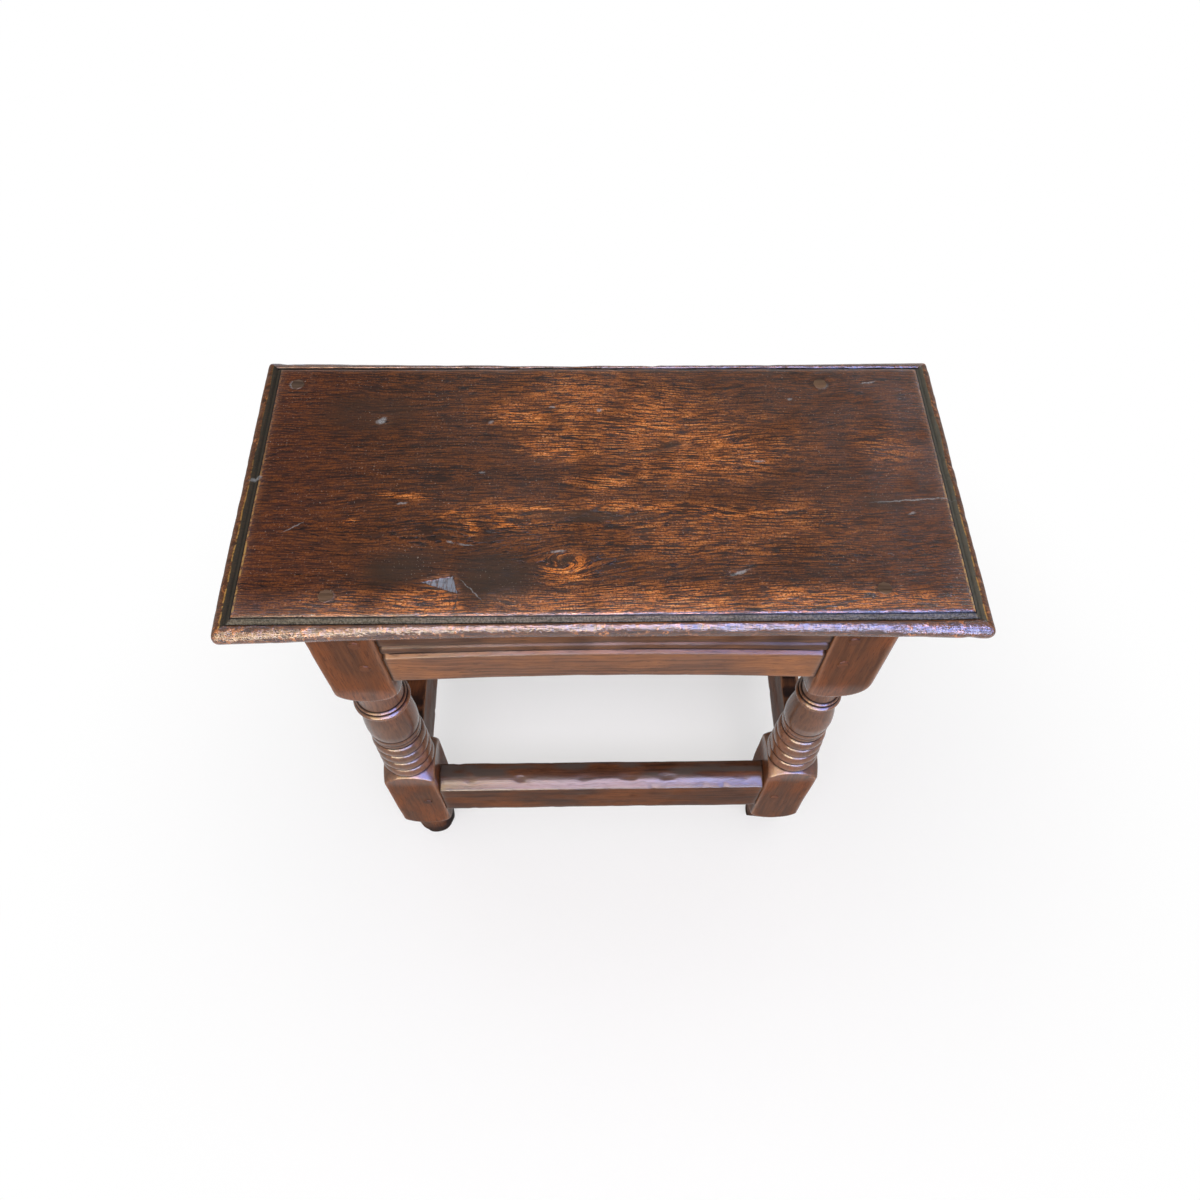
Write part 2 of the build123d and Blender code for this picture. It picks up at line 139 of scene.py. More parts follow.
def mask(tree, *factors):
    """Factors multiplied. A tuple is a smooth step of its first value: from where, to where, and what
    it gives there, which is 0 and 1 unless the tuple says so."""
    result = None
    for factor in factors:
        if isinstance(factor, tuple):
            value, low, high, start, end = (*factor, 0.0, 1.0)[:5]
            step = {"Value": value, "From Min": low, "From Max": high, "To Min": start, "To Max": end}
            factor = add(tree, "MapRange", step, interpolation_type="SMOOTHSTEP")
        if result is not None:
            factor = add(tree, "Math", {0: result, 1: factor}, operation="MULTIPLY")
        result = factor
    return result


def plain_view(tree):
    """1 for rays from the camera, off gloss or through glass, and 0 for rays that carry light."""
    rays = add(tree, "LightPath").node.outputs
    seen = {0: rays["Is Camera Ray"], 1: rays["Is Glossy Ray"]}
    seen = {0: add(tree, "Math", seen, operation="MAXIMUM"), 1: rays["Is Transmission Ray"]}
    return add(tree, "Math", seen, operation="MAXIMUM")


print("mid oak, linear:", [round(c, 3) for c in linear("#6b4a32")])

# %% [markdown]
# ## Floor, sky and lamps
# The stool stands on a plain white sweep of paper that fades into a white background. Camera rays, and
# rays that glossy surfaces send out, see the paper as plain white from some way off, while near the
# stool a good part of it takes the real light, so that the soft shadow stays. That lit part is a little
# darker than the glow, so this also paints a grey shadow halo round the stool, centred a little off its
# middle. The light is a wide softbox overhead and one in front. Three tall panels side by side, warm on
# the left, pink in the middle and blue on the right, and two low strips under them are seen by glossy
# surfaces alone. They add no light, but they draw the broad highlights on waxed edges and rings that
# face the viewer.

# %% Floor
floor_reach = 4.0
shadow_share = 0.5
shadow_centre = (0.06, -0.06, 0.0)
shadow_reach = (0.2, 0.78)

paper, tree = new_material("white paper")
near = {0: add(tree, "TexCoord", output="Object"), 1: shadow_centre}
near = add(tree, "VectorMath", near, output="Value", operation="DISTANCE")
# painted shadow: near the stool more of the paper is the lit matt, which is a little darker than the
# glow, so a grey halo is painted round it as well as the real shadow
glow_share = mask(tree, plain_view(tree), (near, *shadow_reach, 1 - shadow_share, 1.0))
matt = add(tree, "BsdfDiffuse", {"Color": linear("#f6f6f6")})
glow = add(tree, "Emission", {"Color": linear("#ffffff"), "Strength": 1.0})
surface = add(tree, "MixShader", {0: glow_share, 1: matt, 2: glow})
add(tree, "OutputMaterial", {"Surface": surface}, output=None)

shape = bmesh.new()
bmesh.ops.create_grid(shape, x_segments=1, y_segments=1, size=floor_reach)
floor = bpy.data.objects.new("floor", as_mesh(shape, "floor"))
floor.data.materials.append(paper)
scene.collection.objects.link(floor)

# %% Sky and softboxes
sky_fill = 0.5
aimed_at = Vector((0, 0, 0.35))

world = bpy.data.worlds.new("studio")
world.use_nodes = True
world.node_tree.nodes.clear()
scene.world = world
tree = world.node_tree
strength = add(tree, "Mix", {0: plain_view(tree), 2: sky_fill, 3: 1.0}, data_type="FLOAT")
sky = add(tree, "Background", {"Color": linear("#ffffff"), "Strength": strength})
add(tree, "OutputWorld", {"Surface": sky}, output=None)


def softbox(name, place, size, power, tint, gloss_only=True):
    """A panel that faces the stool and that only glossy surfaces see, or a lamp of that shape."""
    lamp = bpy.data.lights.new(name, "AREA")
    lamp.shape = "RECTANGLE"
    lamp.size, lamp.size_y = size
    lamp.energy = power
    lamp.color = linear(tint)[:3]
    box = bpy.data.objects.new(name, lamp)
    aim = (aimed_at - Vector(place)).to_track_quat("-Z", "Y")
    box.matrix_world = Matrix.Translation(place) @ aim.to_matrix().to_4x4()
    box.visible_diffuse = not gloss_only
    scene.collection.objects.link(box)


softbox("softbox overhead", (0.0, -1.2, 2.1), (2.2, 0.6), 22, "#fbf6ff", False)
softbox("softbox front", (0.0, -2.6, 1.2), (1.6, 1.0), 34, "#fffaf5", False)
softbox("panel left", (-0.85, -1.35, 1.6), (0.95, 1.7), 58, "#ffe3a6")
softbox("panel middle", (0.0, -1.45, 1.65), (0.75, 1.7), 78, "#f3dcf6")
softbox("panel right", (0.85, -1.35, 1.6), (0.95, 1.7), 120, "#82a4ff")
softbox("low strip left", (-0.85, -2.3, 0.6), (1.6, 0.45), 80, "#ffeccb")
softbox("low strip right", (0.9, -2.3, 0.6), (1.6, 0.45), 85, "#b9cbff")
print("lamps:", [lamp.name for lamp in bpy.data.lights])

# %% [markdown]
# ## How a worn piece is made
# Each piece starts as a clean shape with a fine, regular skin. Slow waves and small dents then push
# the skin inwards, never outwards, because use only takes wood away. The bend of the skin at each
# point says where hands and feet rub, on arrises and ridges, and where dirt and wax gather, in the
# grooves. Both are kept on the mesh as attributes that the materials read: wear, and one for grime,
# which on the rails also holds painted shade under the seat. The legs have a third, handled, for the
# turned part that hands polish. The waves are made with arrays, which is many times quicker than
# asking for noise point by point.

# %% Helpers for worn meshes
lattice_side = 32
wave_sizes = {"slow": 45 * MM, "dents": 11 * MM, "patchy": 16 * MM}
rub_gain = 9


def coordinates(mesh):
    """The places of a mesh's vertices, as an array."""
    places = np.empty(len(mesh.vertices) * 3)
    mesh.vertices.foreach_get("co", places)
    return places.reshape(-1, 3)


def directions(mesh):
    """The outward direction at each vertex, as an array."""
    normals = np.empty(len(mesh.vertices) * 3)
    mesh.vertex_normals.foreach_get("vector", normals)
    return normals.reshape(-1, 3)


def place_vertices(mesh, places):
    """Put the vertices where the array says."""
    mesh.vertices.foreach_set("co", places.ravel())
    mesh.update()


def waves(places, size, seed):
    """Smooth noise from -1 to 1: random values on the corners of a lattice, blended in its cells. The
    size of a cell is in metres."""
    lattice = np.random.default_rng(seed).uniform(-1, 1, (lattice_side,) * 3)
    at = places / size
    cell = np.floor(at).astype(int)
    share = at - cell
    share = share * share * (3 - 2 * share)
    total = np.zeros(len(places))
    for corner in product((0, 1), repeat=3):
        weight = np.where(corner, share, 1 - share).prod(1)
        total += weight * lattice[tuple((cell + corner).T % lattice_side)]
    return total


def bend(mesh, spread):
    """How sharply the skin bends at each vertex: above 0 on ridges, below 0 in grooves."""
    places = coordinates(mesh)
    normals = directions(mesh)
    edges = np.empty(len(mesh.edges) * 2, dtype=int)
    mesh.edges.foreach_get("vertices", edges)
    start, end = edges.reshape(-1, 2).T
    run = places[end] - places[start]
    run /= np.maximum(np.linalg.norm(run, axis=1), 1e-9)[:, None]
    count = np.bincount(edges, minlength=len(places))
    total = np.bincount(start, -(normals[start] * run).sum(1), len(places))
    total += np.bincount(end, (normals[end] * run).sum(1), len(places))
    total /= np.maximum(count, 1)
    for _ in range(spread):
        near = np.bincount(start, total[end], len(places))
        near += np.bincount(end, total[start], len(places))
        total = (total + near / np.maximum(count, 1)) / 2
    return total


def keep_attribute(mesh, name, values):
    """Store one number for each vertex, held between 0 and 1, or raise what is stored to it."""
    layer = mesh.attributes.get(name) or mesh.attributes.new(name, "FLOAT", "POINT")
    stored = np.zeros(len(mesh.vertices), dtype=np.float32)
    layer.data.foreach_get("value", stored)
    layer.data.foreach_set("value", np.maximum(stored, np.clip(values, 0, 1).astype(np.float32)))


def press_in(mesh, depth):
    """Push the skin inwards by a depth in mm at each vertex."""
    place_vertices(mesh, coordinates(mesh) - directions(mesh) * (depth * MM)[:, None])


def age(mesh, seed, wave_depth=0.25, dent_depth=0.3, arris_depth=0.5, darkening=12):
    """Wear a clean skin inwards, and mark where it is rubbed and where it is dirty. Depths in mm."""
    places = coordinates(mesh)
    sharp = bend(mesh, 2)
    rubbed = np.clip(sharp * rub_gain, 0, 1)
    slow, dents, patchy = (waves(places, size, seed + k) for k, size in enumerate(wave_sizes.values()))
    patchy = 0.5 + 0.7 * patchy
    depth = (0.5 + 0.5 * slow) * wave_depth
    depth += np.clip(dents - 0.35, 0, 1) * 2 * dent_depth
    depth += rubbed * np.clip(patchy, 0, 1) * arris_depth
    press_in(mesh, depth)
    keep_attribute(mesh, "wear", rubbed * (0.55 + 0.6 * patchy))
    keep_attribute(mesh, "grime_and_shade", np.clip(-sharp * darkening, 0, 1))


def finish_piece(name, mesh, material, node):
    """Link a finished mesh as a piece that stands for one node of the frame."""
    for face in mesh.polygons:
        face.use_smooth = True
    piece = bpy.data.objects.new(name, mesh)
    scene.collection.objects.link(piece)
    mesh.materials.append(material)
    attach(piece, "root")
    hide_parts(node)
    print(f"{name}: {len(mesh.polygons)} faces")
    return piece


# %% [markdown]
# ### The cant of the frame
# The front and the back frame lean in towards the seat, so the stool stands wider at the floor. Their
# pieces are made upright and then turned about the line where the frame's face meets the seat, and
# what would stand over the seat's underside or below the floor is brought level with it.

# %% Cant
leg_cant = radians(3.0)
side_overhang = 20.0
seat_depth = 275.0
half_depth = seat_depth / 2 - side_overhang
seat_underside = seat_low.z / MM
leg_square = (leg_high.x - leg_low.x) / MM


def cant(mesh, side_y):
    """Turn a piece of the front (-1) or back (1) frame into its leaning place."""
    places = coordinates(mesh)
    pivot_y, pivot_z = side_y * half_depth * MM, seat_underside * MM
    y, z = places[:, 1] - pivot_y, places[:, 2] - pivot_z
    angle = side_y * leg_cant
    places[:, 1] = pivot_y + y * cos(angle) - z * sin(angle)
    places[:, 2] = pivot_z + y * sin(angle) + z * cos(angle)
    place_vertices(mesh, places)


def trim_level(mesh):
    """Bring what stands over the underside of the seat or below the floor level with it."""
    places = coordinates(mesh)
    places[:, 2] = np.clip(places[:, 2], 0, seat_underside * MM)
    place_vertices(mesh, places)


def inner_face(height):
    """Distance from the middle plane to the inner face of a leaning leg, at a height in mm."""
    return half_depth + (seat_underside - height) * tan(leg_cant) - leg_square / cos(leg_cant)


print("inner faces at seat and floor, mm:", round(inner_face(seat_underside), 1), round(inner_face(0), 1))

# %% [markdown]
# ## Aged oak
# Oak shows long, narrow pores along the grain, bands of early and late wood a few millimetres wide,
# and pale flecks where its rays reach the surface. Centuries of wax and smoke have made it dark
# brown. Where it is rubbed, a warm orange brown comes through, broken by the dark pores, and where
# nothing rubs, a green-black crust stays. Each pattern is a noise that is stretched along the grain.
# Its sizes are real millimetres, except that the pores are drawn twice as wide as they are, because a
# true pore is finer than a picture can show. A clear coat stands for the hard wax on rubbed wood. Four
# small helpers lay colours over each other, add up weighted values, read the meshes' attributes and
# sway a place to and fro, so that nothing drawn there is ruler-straight.

# %% Aged oak
pore_size = (10.0, 0.9)
band_size = (120.0, 3.0)
fleck_size = (16.0, 1.3)
patch_size = (75.0, 32.0)
along_axis = {"x": (0, 1, 2), "y": (1, 0, 2), "z": (2, 0, 1)}


def grain_place(tree, axis):
    """The object's own coordinates in metres, turned so that the grain runs along X."""
    parts = add(tree, "SeparateXYZ", {0: add(tree, "TexCoord", output="Object")}).node.outputs
    along, across, through = (parts[index] for index in along_axis[axis])
    return add(tree, "CombineXYZ", {0: along, 1: across, 2: through})


def streaks(tree, place, size, seed, detail=3.0, roughness=0.55):
    """Noise drawn out along X: size is the length and width of a streak in mm."""
    scale = (1 / (size[0] * MM), 1 / (size[1] * MM), 1 / (size[1] * MM))
    moved = add(tree, "Mapping", {"Vector": place, "Location": (seed, seed, seed), "Scale": scale})
    settings = {"Vector": moved, "Scale": 1.0, "Detail": detail, "Roughness": roughness}
    return add(tree, "TexNoise", settings)


def coats(tree, colour, *layers):
    """Colours laid over a first one. A layer is its colour, then the factors of its mask."""
    colour = linear(colour)
    for over, *factors in layers:
        over = linear(over) if isinstance(over, str) else over
        mix = {0: mask(tree, *factors), 6: colour, 7: over}
        colour = add(tree, "Mix", mix, output=2, data_type="RGBA")
    return colour


def weighted(tree, base, *terms):
    """A base with values added to it, each times its weight."""
    for value, weight in terms:
        base = add(tree, "Math", {0: value, 1: weight, 2: base}, operation="MULTIPLY_ADD")
    return base


def kept(tree, *names):
    """The attributes of these names that the worn meshes keep."""
    return [add(tree, "Attribute", output="Fac", attribute_name=name) for name in names]


def swayed(tree, place, amount, size):
    """The place moved to and fro by this amount in mm, in waves of this size in mm."""
    waves_here = {"Vector": place, "Scale": 1 / (size * MM), "Detail": 2.0}
    sway = add(tree, "TexNoise", waves_here, output="Color")
    sway = add(tree, "VectorMath", {0: sway, 1: (0.5, 0.5, 0.5)}, operation="SUBTRACT")
    sway = add(tree, "VectorMath", {0: sway, "Scale": amount * MM}, operation="SCALE")
    return add(tree, "VectorMath", {0: place, 1: sway}, operation="ADD")


def oak_surface(tree, colour, height, roughness, polish, coat_roughness):
    """Waxed oak: the closing nodes that every oak material here shares."""
    bump = add(tree, "Bump", {"Strength": 1.0, "Distance": 0.3 * MM, "Height": height})
    settings = {"Base Color": colour, "Roughness": roughness, "Normal": bump, "IOR": 1.45}
    settings |= {"Specular IOR Level": 0.06, "Coat Weight": polish, "Coat Roughness": coat_roughness}
    wood = add(tree, "BsdfPrincipled", settings | {"Coat IOR": 1.5, "Coat Normal": bump})
    add(tree, "OutputMaterial", {"Surface": wood}, output=None)


# %% Oak of the frame
oak_tones = {"dark": "#442919", "mid": "#5a3620", "warm": "#774324", "bare": "#8a5833",
             "crust": "#120e0b"}


def frame_oak(name, axis, seed=0.0, polish=0.05, gloss=0.9, **tones):
    """Dark waxed oak with its grain along one axis. Tones that aren't given are the legs'."""
    dark, mid, warm, bare, crust = (oak_tones | tones).values()
    material, tree = new_material(name)
    place = swayed(tree, grain_place(tree, axis), 9, 71.43)
    bands = streaks(tree, place, band_size, seed)
    pores = streaks(tree, place, pore_size, seed + 5, detail=2.0)
    flecks = streaks(tree, place, fleck_size, seed + 9)
    patch = streaks(tree, place, patch_size, seed + 2, detail=2.0)
    wear, grime_and_shade, handled = kept(tree, "wear", "grime_and_shade", "handled")
    pore_mark = mask(tree, (pores, 0.35, 0.41, 0.4, 0.0))
    colour = coats(
        tree, dark,
        (mid, (bands, 0.30, 0.70)),
        (warm, (patch, 0.40, 0.68), (flecks, 0.30, 0.68, 0.25, 0.8)),
        ("#180e0a", pore_mark),
        (bare, wear, (flecks, 0.3, 0.6, 0.2, 0.75)),
        # crust colour where the grime attribute is high: dirt in the grooves, and on the rails also
        # painted shade under the seat
        (crust, grime_and_shade, 0.92),
    )
    height = weighted(tree, 0.0, (pore_mark, -0.5), (bands, 0.4))
    rough = weighted(tree, mask(tree, (patch, 0.3, 0.7, 0.42, 0.55)), (grime_and_shade, 0.3))
    waxed = weighted(tree, mask(tree, (patch, 0.3, 0.7, polish * 1.4, polish * 0.6)), (wear, gloss))
    waxed = add(tree, "Math", {0: handled, 1: waxed}, operation="ADD", use_clamp=True)
    clean = add(tree, "Math", {0: 1.0, 1: grime_and_shade}, operation="SUBTRACT", use_clamp=True)
    oak_surface(tree, colour, height, rough, mask(tree, waxed, clean), 0.2)
    return material


leg_oak = frame_oak("aged waxed oak, turned legs", "z")
cross_oak = frame_oak("aged waxed oak, end rails and stretchers", "y", 6.0)
# painted light: the long rails' oak has lighter tones than the rest, standing in for the light on their
# faces
lightened_rail_oak = frame_oak("aged waxed oak, long rails", "x", 3.0, 0.3, 0.22,
                     dark="#4f3324", mid="#774f36", warm="#96623b", bare="#5f5248")
stretcher_oak = frame_oak("aged waxed oak, long stretchers", "x", 4.0, 0.05, 0.42,
                          dark="#331e12", mid="#51301c", warm="#6f4121", bare="#54463e", crust="#463f39")
peg_oak = frame_oak("riven oak pegs", "x", 8.0, dark="#35211a", mid="#523323", warm="#6b4128")
seat_peg_oak = frame_oak("greyed oak pegs, seat", "x", 9.0, dark="#3b2d23", mid="#665141", warm="#7d6149")
print("materials:", [material.name for material in bpy.data.materials])

# %% [markdown]
# ## Turned legs
# A leg is square stock that the lathe has rounded between two blocks, where the rails and stretchers
# are jointed in. It could be made by cutting a spun shape out of a square bar, but a boolean leaves
# ragged edges. Here a plain tube is divided into rings of points, and each point then moves in to the
# square bar or to the lathe's outline, whichever is nearer the middle, as the tool does it. The points
# stand closer together at the corners of the square, and the steps are fine where the leg is turned.
# One leg was turned thinner than its fellows, and its turned part leans in its blocks.

# %% The lathe's outline
shoulder_radius = 20.5
lathe_radius = 38.4
low_block = (68.5, 155.3)
top_block = (348.4, 442.0)
ring_count = 4
ring_pitch = 14.8
slim_leg = "front_right"
slim_cut = 4.6
slim_lean = radians(0.9)
hand_polish = 0.62
polished_heights = (150, 165, 340, 352)
foot_loss = 1.6
foot_darkening = {"top": 48, "run": 30, "ragged_top": 60}
end_waste = 3.0
arris_radius = {"mean": 2.4, "spread": 2.0, "least": 1.2, "most": 4.5}
meeting_softness = 0.6


def sweep(outline, rise_by, radius, bulge=0.0, steps=12, fullness=1.0):
    """Go up to a new radius in one curve that bulges outwards in its middle."""
    height, start = outline[-1]
    for step in range(1, steps + 1):
        t = step / steps
        swell = bulge * (4 * t * (1 - t)) ** fullness
        outline.append((height + rise_by * t, start + (radius - start) * t + swell))


def shoulder(outline, block_end):
    """The rounded end of a block, from the turned part below it to the full square."""
    centre = lathe_radius - shoulder_radius
    fall = np.sqrt(shoulder_radius**2 - (outline[-1][1] - centre) ** 2)
    for height in np.linspace(block_end - fall, block_end, 14):
        outline.append((height, centre + np.sqrt(shoulder_radius**2 - (block_end - height) ** 2)))


def leg_outline(slim):
    """Heights and radii that the lathe leaves, from the floor to the seat, in mm."""
    foot = [(end_waste, 20.5, 0, 2), (17.8, 22.5, 0.5), (21.8, 20.5, 0.8)]
    ankle = [(2, 18.0, 0.5, 3), (6.4, 18.0, -0.3, 5)]
    rings = [(ring_pitch, 24.3 - 0.275 * ring - slim * ring / ring_count / 2, 3.0, 20, 0.7)
             for ring in range(1, ring_count + 1)]
    scribes = [(7.0, 24.2 - slim / 2, 0.7, 10, 0.8)] * 2
    vase = [(11.5, 25.4 - slim / 2, 0.35), (29.6, 21.8 - slim, 0.7 + slim * 0.05)]
    low_fillet = [(0.7, 23.7 - slim, 0.2, 3), (1.6, 23.6 - slim, 0.15, 4), (0.8, 22.9 - slim, -0.2, 3)]
    collar = [(7.0, 22.9 - slim, 3.3, 12, 0.7)]
    high_fillet = [(0.8, 23.6 - slim, -0.2, 3), (1.6, 23.5 - slim, 0.15, 4), (0.9, 21.5 - slim, -0.2, 3)]
    neck = [(27, 21.5 - slim, -0.6)]
    outline = [(-end_waste, 20.2)]
    for move in foot + ankle:
        sweep(outline, *move)
    shoulder(outline, low_block[0])
    outline.append((low_block[1], lathe_radius))
    sweep(outline, 18.5, 24.3, 2.9)
    for move in rings + scribes + vase + low_fillet + collar + high_fillet + neck:
        sweep(outline, *move)
    shoulder(outline, top_block[0])
    outline.append((top_block[1] + end_waste, lathe_radius))
    return np.array(outline).T


print("outline points of a leg:", leg_outline(0.0).shape[1])

# %% Square bar and leg
half_square = leg_square / 2
leg_axis_x = (leg_high.x + leg_low.x) / 2 / MM
leg_axis_y = half_depth - half_square
points_per_half_face = 14
spacing = 1 - (1 - np.arange(1, points_per_half_face + 1) / points_per_half_face) ** 1.8
half_face = np.concatenate((-spacing[::-1], [0.0], spacing[:-1])) * pi / 4
leg_angles = np.concatenate([half_face + quarter * pi / 2 for quarter in range(4)])
height_steps = ((-end_waste, 48, 1.2), (48, 70, 0.8), (70, 153, 3.0), (153, 350, 0.7), (350, 443, 3.0))
leg_heights = np.concatenate([np.arange(*run) for run in height_steps] + [[top_block[1] + end_waste]])


def bar_radius(angle, corner_radius):
    """How far a square bar with rounded corners reaches from its middle, towards each angle."""
    long_part = np.maximum(abs(np.cos(angle)), abs(np.sin(angle)))
    short_part = np.minimum(abs(np.cos(angle)), abs(np.sin(angle)))
    flat = half_square / long_part
    centre = half_square - corner_radius
    middle = centre * (long_part + short_part)
    round_end = middle + np.sqrt(np.maximum(middle**2 - 2 * centre**2 + corner_radius**2, 0))
    return np.where(flat * short_part > centre, round_end, flat)


def soft_least(first, second, softness):
    """The lesser of two, with the crossing rounded over."""
    share = np.clip(0.5 + 0.5 * (second - first) / softness, 0, 1)
    return second + (first - second) * share - softness * share * (1 - share)


def tube(angles, heights):
    """A closed tube of unit radius with one ring of points at each height in mm."""
    shape = bmesh.new()
    bmesh.ops.create_cone(shape, cap_ends=True, segments=len(angles), radius1=1.0, radius2=1.0, depth=1.0)
    upright = [edge for edge in shape.edges if edge.calc_length() > 0.99]
    bmesh.ops.subdivide_edges(shape, edges=upright, cuts=len(heights) - 2)
    mesh = as_mesh(shape, "tube")
    x, y, z = coordinates(mesh).T
    angle = angles[np.round(np.arctan2(y, x) / (2 * pi) * len(angles)).astype(int) % len(angles)]
    height = heights[np.round((z + 0.5) * (len(heights) - 1)).astype(int)]
    place_vertices(mesh, np.column_stack((np.cos(angle), np.sin(angle), height * MM)))
    return mesh


def turned_leg(corner, side_x, side_y, seed):
    """One leg, worn, in its place."""
    slim = slim_cut if corner == slim_leg else 0.0
    mesh = tube(leg_angles, leg_heights)
    places = coordinates(mesh)
    angle = np.arctan2(places[:, 1], places[:, 0])
    height = places[:, 2] / MM
    arris = arris_radius["mean"]
    arris += arris_radius["spread"] * waves(places * (0.2, 0.2, 1.0), 0.05, seed + 20)
    square = bar_radius(angle, np.clip(arris, arris_radius["least"], arris_radius["most"]))
    turned = np.interp(height, *leg_outline(slim))
    lean = side_x * tan(slim_lean) * (slim > 0)
    off_middle = -lean * np.maximum(height - low_block[0], 0)
    turned = off_middle * np.cos(angle) + np.sqrt(turned**2 - (off_middle * np.sin(angle)) ** 2)
    radius = soft_least(square, turned, meeting_softness) * MM
    places[:, 0] = side_x * leg_axis_x * -MM + radius * np.cos(angle)
    places[:, 1] = side_y * leg_axis_y * MM + radius * np.sin(angle)
    place_vertices(mesh, places)
    if corner == slim_leg:
        split_away(mesh)
    polished = np.interp(height, polished_heights, (0, hand_polish, hand_polish, 0))
    keep_attribute(mesh, "handled", polished)
    # darker towards the floor, with a ragged top edge
    darkening = (foot_darkening["top"] - height) / foot_darkening["run"]
    darkening += 0.5 * waves(places, 0.012, seed + 5) * (height < foot_darkening["ragged_top"])
    keep_attribute(mesh, "grime_and_shade", darkening)
    cant(mesh, side_y)
    age(mesh, seed, 0.2, 0.25, 0.2, darkening=26)
    press_in(mesh, foot_loss * np.clip(1 - height / 50, 0, 0.5) * (1 + waves(places, 0.009, seed + 6)))
    trim_level(mesh)
    return finish_piece(f"turned_leg_{corner}", mesh, leg_oak, f"leg_{corner}")


# %% [markdown]
# One front foot has split along the grain long ago and lost its front half. The points in front of a
# slanting plane are pulled back onto it, and a little coarse noise gives the torn face its splinters.

# %% Split foot
split_top = 48.0
split_run = 24.0
splinter_size = (0.003, 0.003, 0.02)


def split_away(mesh):
    """Take the front of a foot away along a slanting split."""
    places = coordinates(mesh)
    height = places[:, 2] / MM
    splinters = waves(places, splinter_size, 40)
    plane = (-half_depth + split_run * (1 - height / split_top) + splinters * 0.5) * MM
    cut = (height < split_top) & (places[:, 1] < plane)
    places[cut, 1] = plane[cut]
    place_vertices(mesh, places)


corners = {"front_left": (-1, -1), "front_right": (1, -1), "back_left": (-1, 1), "back_right": (1, 1)}
for seed, (corner, sides) in enumerate(corners.items()):
    turned_leg(corner, *sides, seed * 11 + 2)

# %% [markdown]
# ## Rails and stretchers
# A rail is a straight stick with one section all along it: a flat face with a run moulding of hollow,
# ridge and groove. The section is drawn once, drawn out to the rail's length and divided along its
# length, so that wear and the flat arch under the long rails can follow. The stretchers are made in
# the same way from a plainer section, whose upper outer edge sitters' heels have worn round.

# %% Helpers for sticks
tenon_thickness = 9.0
tenon_setin = 12.0
tenon_reach = 28.0
tenon_root = 6.0


def drawn_line(start, *moves):
    """Points of a line, in mm. A move is an end and a pitch for a straight run, or a bulge point, an
    end and a count of steps for a curve that is pulled towards the bulge."""
    points = [start]
    for *bulge, end, count in moves:
        begin, end = np.array(points[-1]), np.array(end)
        steps = count if bulge else max(1, round(np.linalg.norm(end - begin) / count))
        share = np.arange(1, steps + 1)[:, None] / steps
        if bulge:
            middle = np.array(bulge[0])
            run = begin * (1 - share) ** 2 + 2 * middle * share * (1 - share) + end * share**2
        else:
            run = begin + (end - begin) * share
        points += [tuple(point) for point in run]
    return points


def stick(section, length, pitch=3.0):
    """A bar along X, centred. The section's points are (behind the face, height) in mm."""
    shape = bmesh.new()
    ends = [shape.verts.new((-length / 2 * MM, back * MM, height * MM)) for back, height in section]
    face = shape.faces.new(ends)
    drawn = bmesh.ops.extrude_face_region(shape, geom=[face])["geom"]
    moved = [part for part in drawn if isinstance(part, bmesh.types.BMVert)]
    bmesh.ops.translate(shape, verts=moved, vec=(length * MM, 0, 0))
    long_edges = [edge for edge in shape.edges if edge.calc_length() > length * MM * 0.99]
    bmesh.ops.subdivide_edges(shape, edges=long_edges, cuts=int(length / pitch))
    bmesh.ops.recalc_face_normals(shape, faces=shape.faces)
    return shape


def follow_cant(shape, length):
    """Draw the ends of an end rail or stretcher out to the leaning inner faces of the legs."""
    for vertex in shape.verts:
        vertex.co.x *= inner_face(vertex.co.z / MM) / (length / 2)


def add_tenons(shape, length, low, high, setback):
    """A plain tenon at each end, from low to high, that starts a little way inside the stick."""
    behind = tenon_setin - setback + tenon_thickness / 2
    for side in (-1, 1):
        size = Vector((tenon_reach + tenon_root, tenon_thickness, high - low))
        centre = Vector((side * (length + tenon_reach - tenon_root) / 2, behind, (low + high) / 2))
        made = bmesh.ops.create_cube(shape, size=1.0)["verts"]
        bmesh.ops.scale(shape, verts=made, vec=size * MM)
        bmesh.ops.translate(shape, verts=made, vec=centre * MM)


def settle(shape, name, face_place, side):
    """Turn a stick so that its face looks out on one side of the stool, and make it a mesh."""
    quarter = ("front", "right", "back", "left").index(side)
    along = ((0, -1), (1, 0), (0, 1), (-1, 0))[quarter]
    bmesh.ops.rotate(shape, verts=shape.verts, matrix=Matrix.Rotation(quarter * pi / 2, 3, "Z"))
    bmesh.ops.translate(shape, verts=shape.verts, vec=Vector((*along, 0)) * face_place * MM)
    mesh = as_mesh(shape, name)
    if side in ("front", "back"):
        cant(mesh, along[1])
    trim_level(mesh)
    return mesh


# %% Rails
rail_bottom = 359.5
rail_top = seat_underside + end_waste
rail_thickness = 25.0
rail_arch_rise = 6.0
rail_setback = 0.8
rail_tenon = (365.5, 424.0)
joint_dirt = 1.6
arch_top = 436
arch_run = 55
shade_foot = 395
shade_run = 8
half_length = leg_square - leg_high.x / MM
inner_x = half_length - leg_square


rail_section = drawn_line(  # from the top of the face down, under the foot and up the back
    (0.0, rail_top),
    ((0.0, 411.8), 4),
    ((0.0, 411.0), (0.6, 410.7), 3),
    ((3.2, 409.3), 0.6),
    ((1.0, 408.0), 0.6),
    ((-0.9, 404.3), (1.0, 400.0), 12),
    ((4.2, 399.4), (3.8, 397.0), 6),
    ((0.7, 394.4), 0.8),
    ((0.0, 393.4), (0.0, 392.6), 4),
    ((0.0, 362.5), 3),
    ((0.0, rail_bottom), (3.0, rail_bottom), 7),
    ((rail_thickness, rail_bottom), 4),
    ((rail_thickness, rail_top), 5),
    ((0.0, rail_top), 5),
)[:-1]


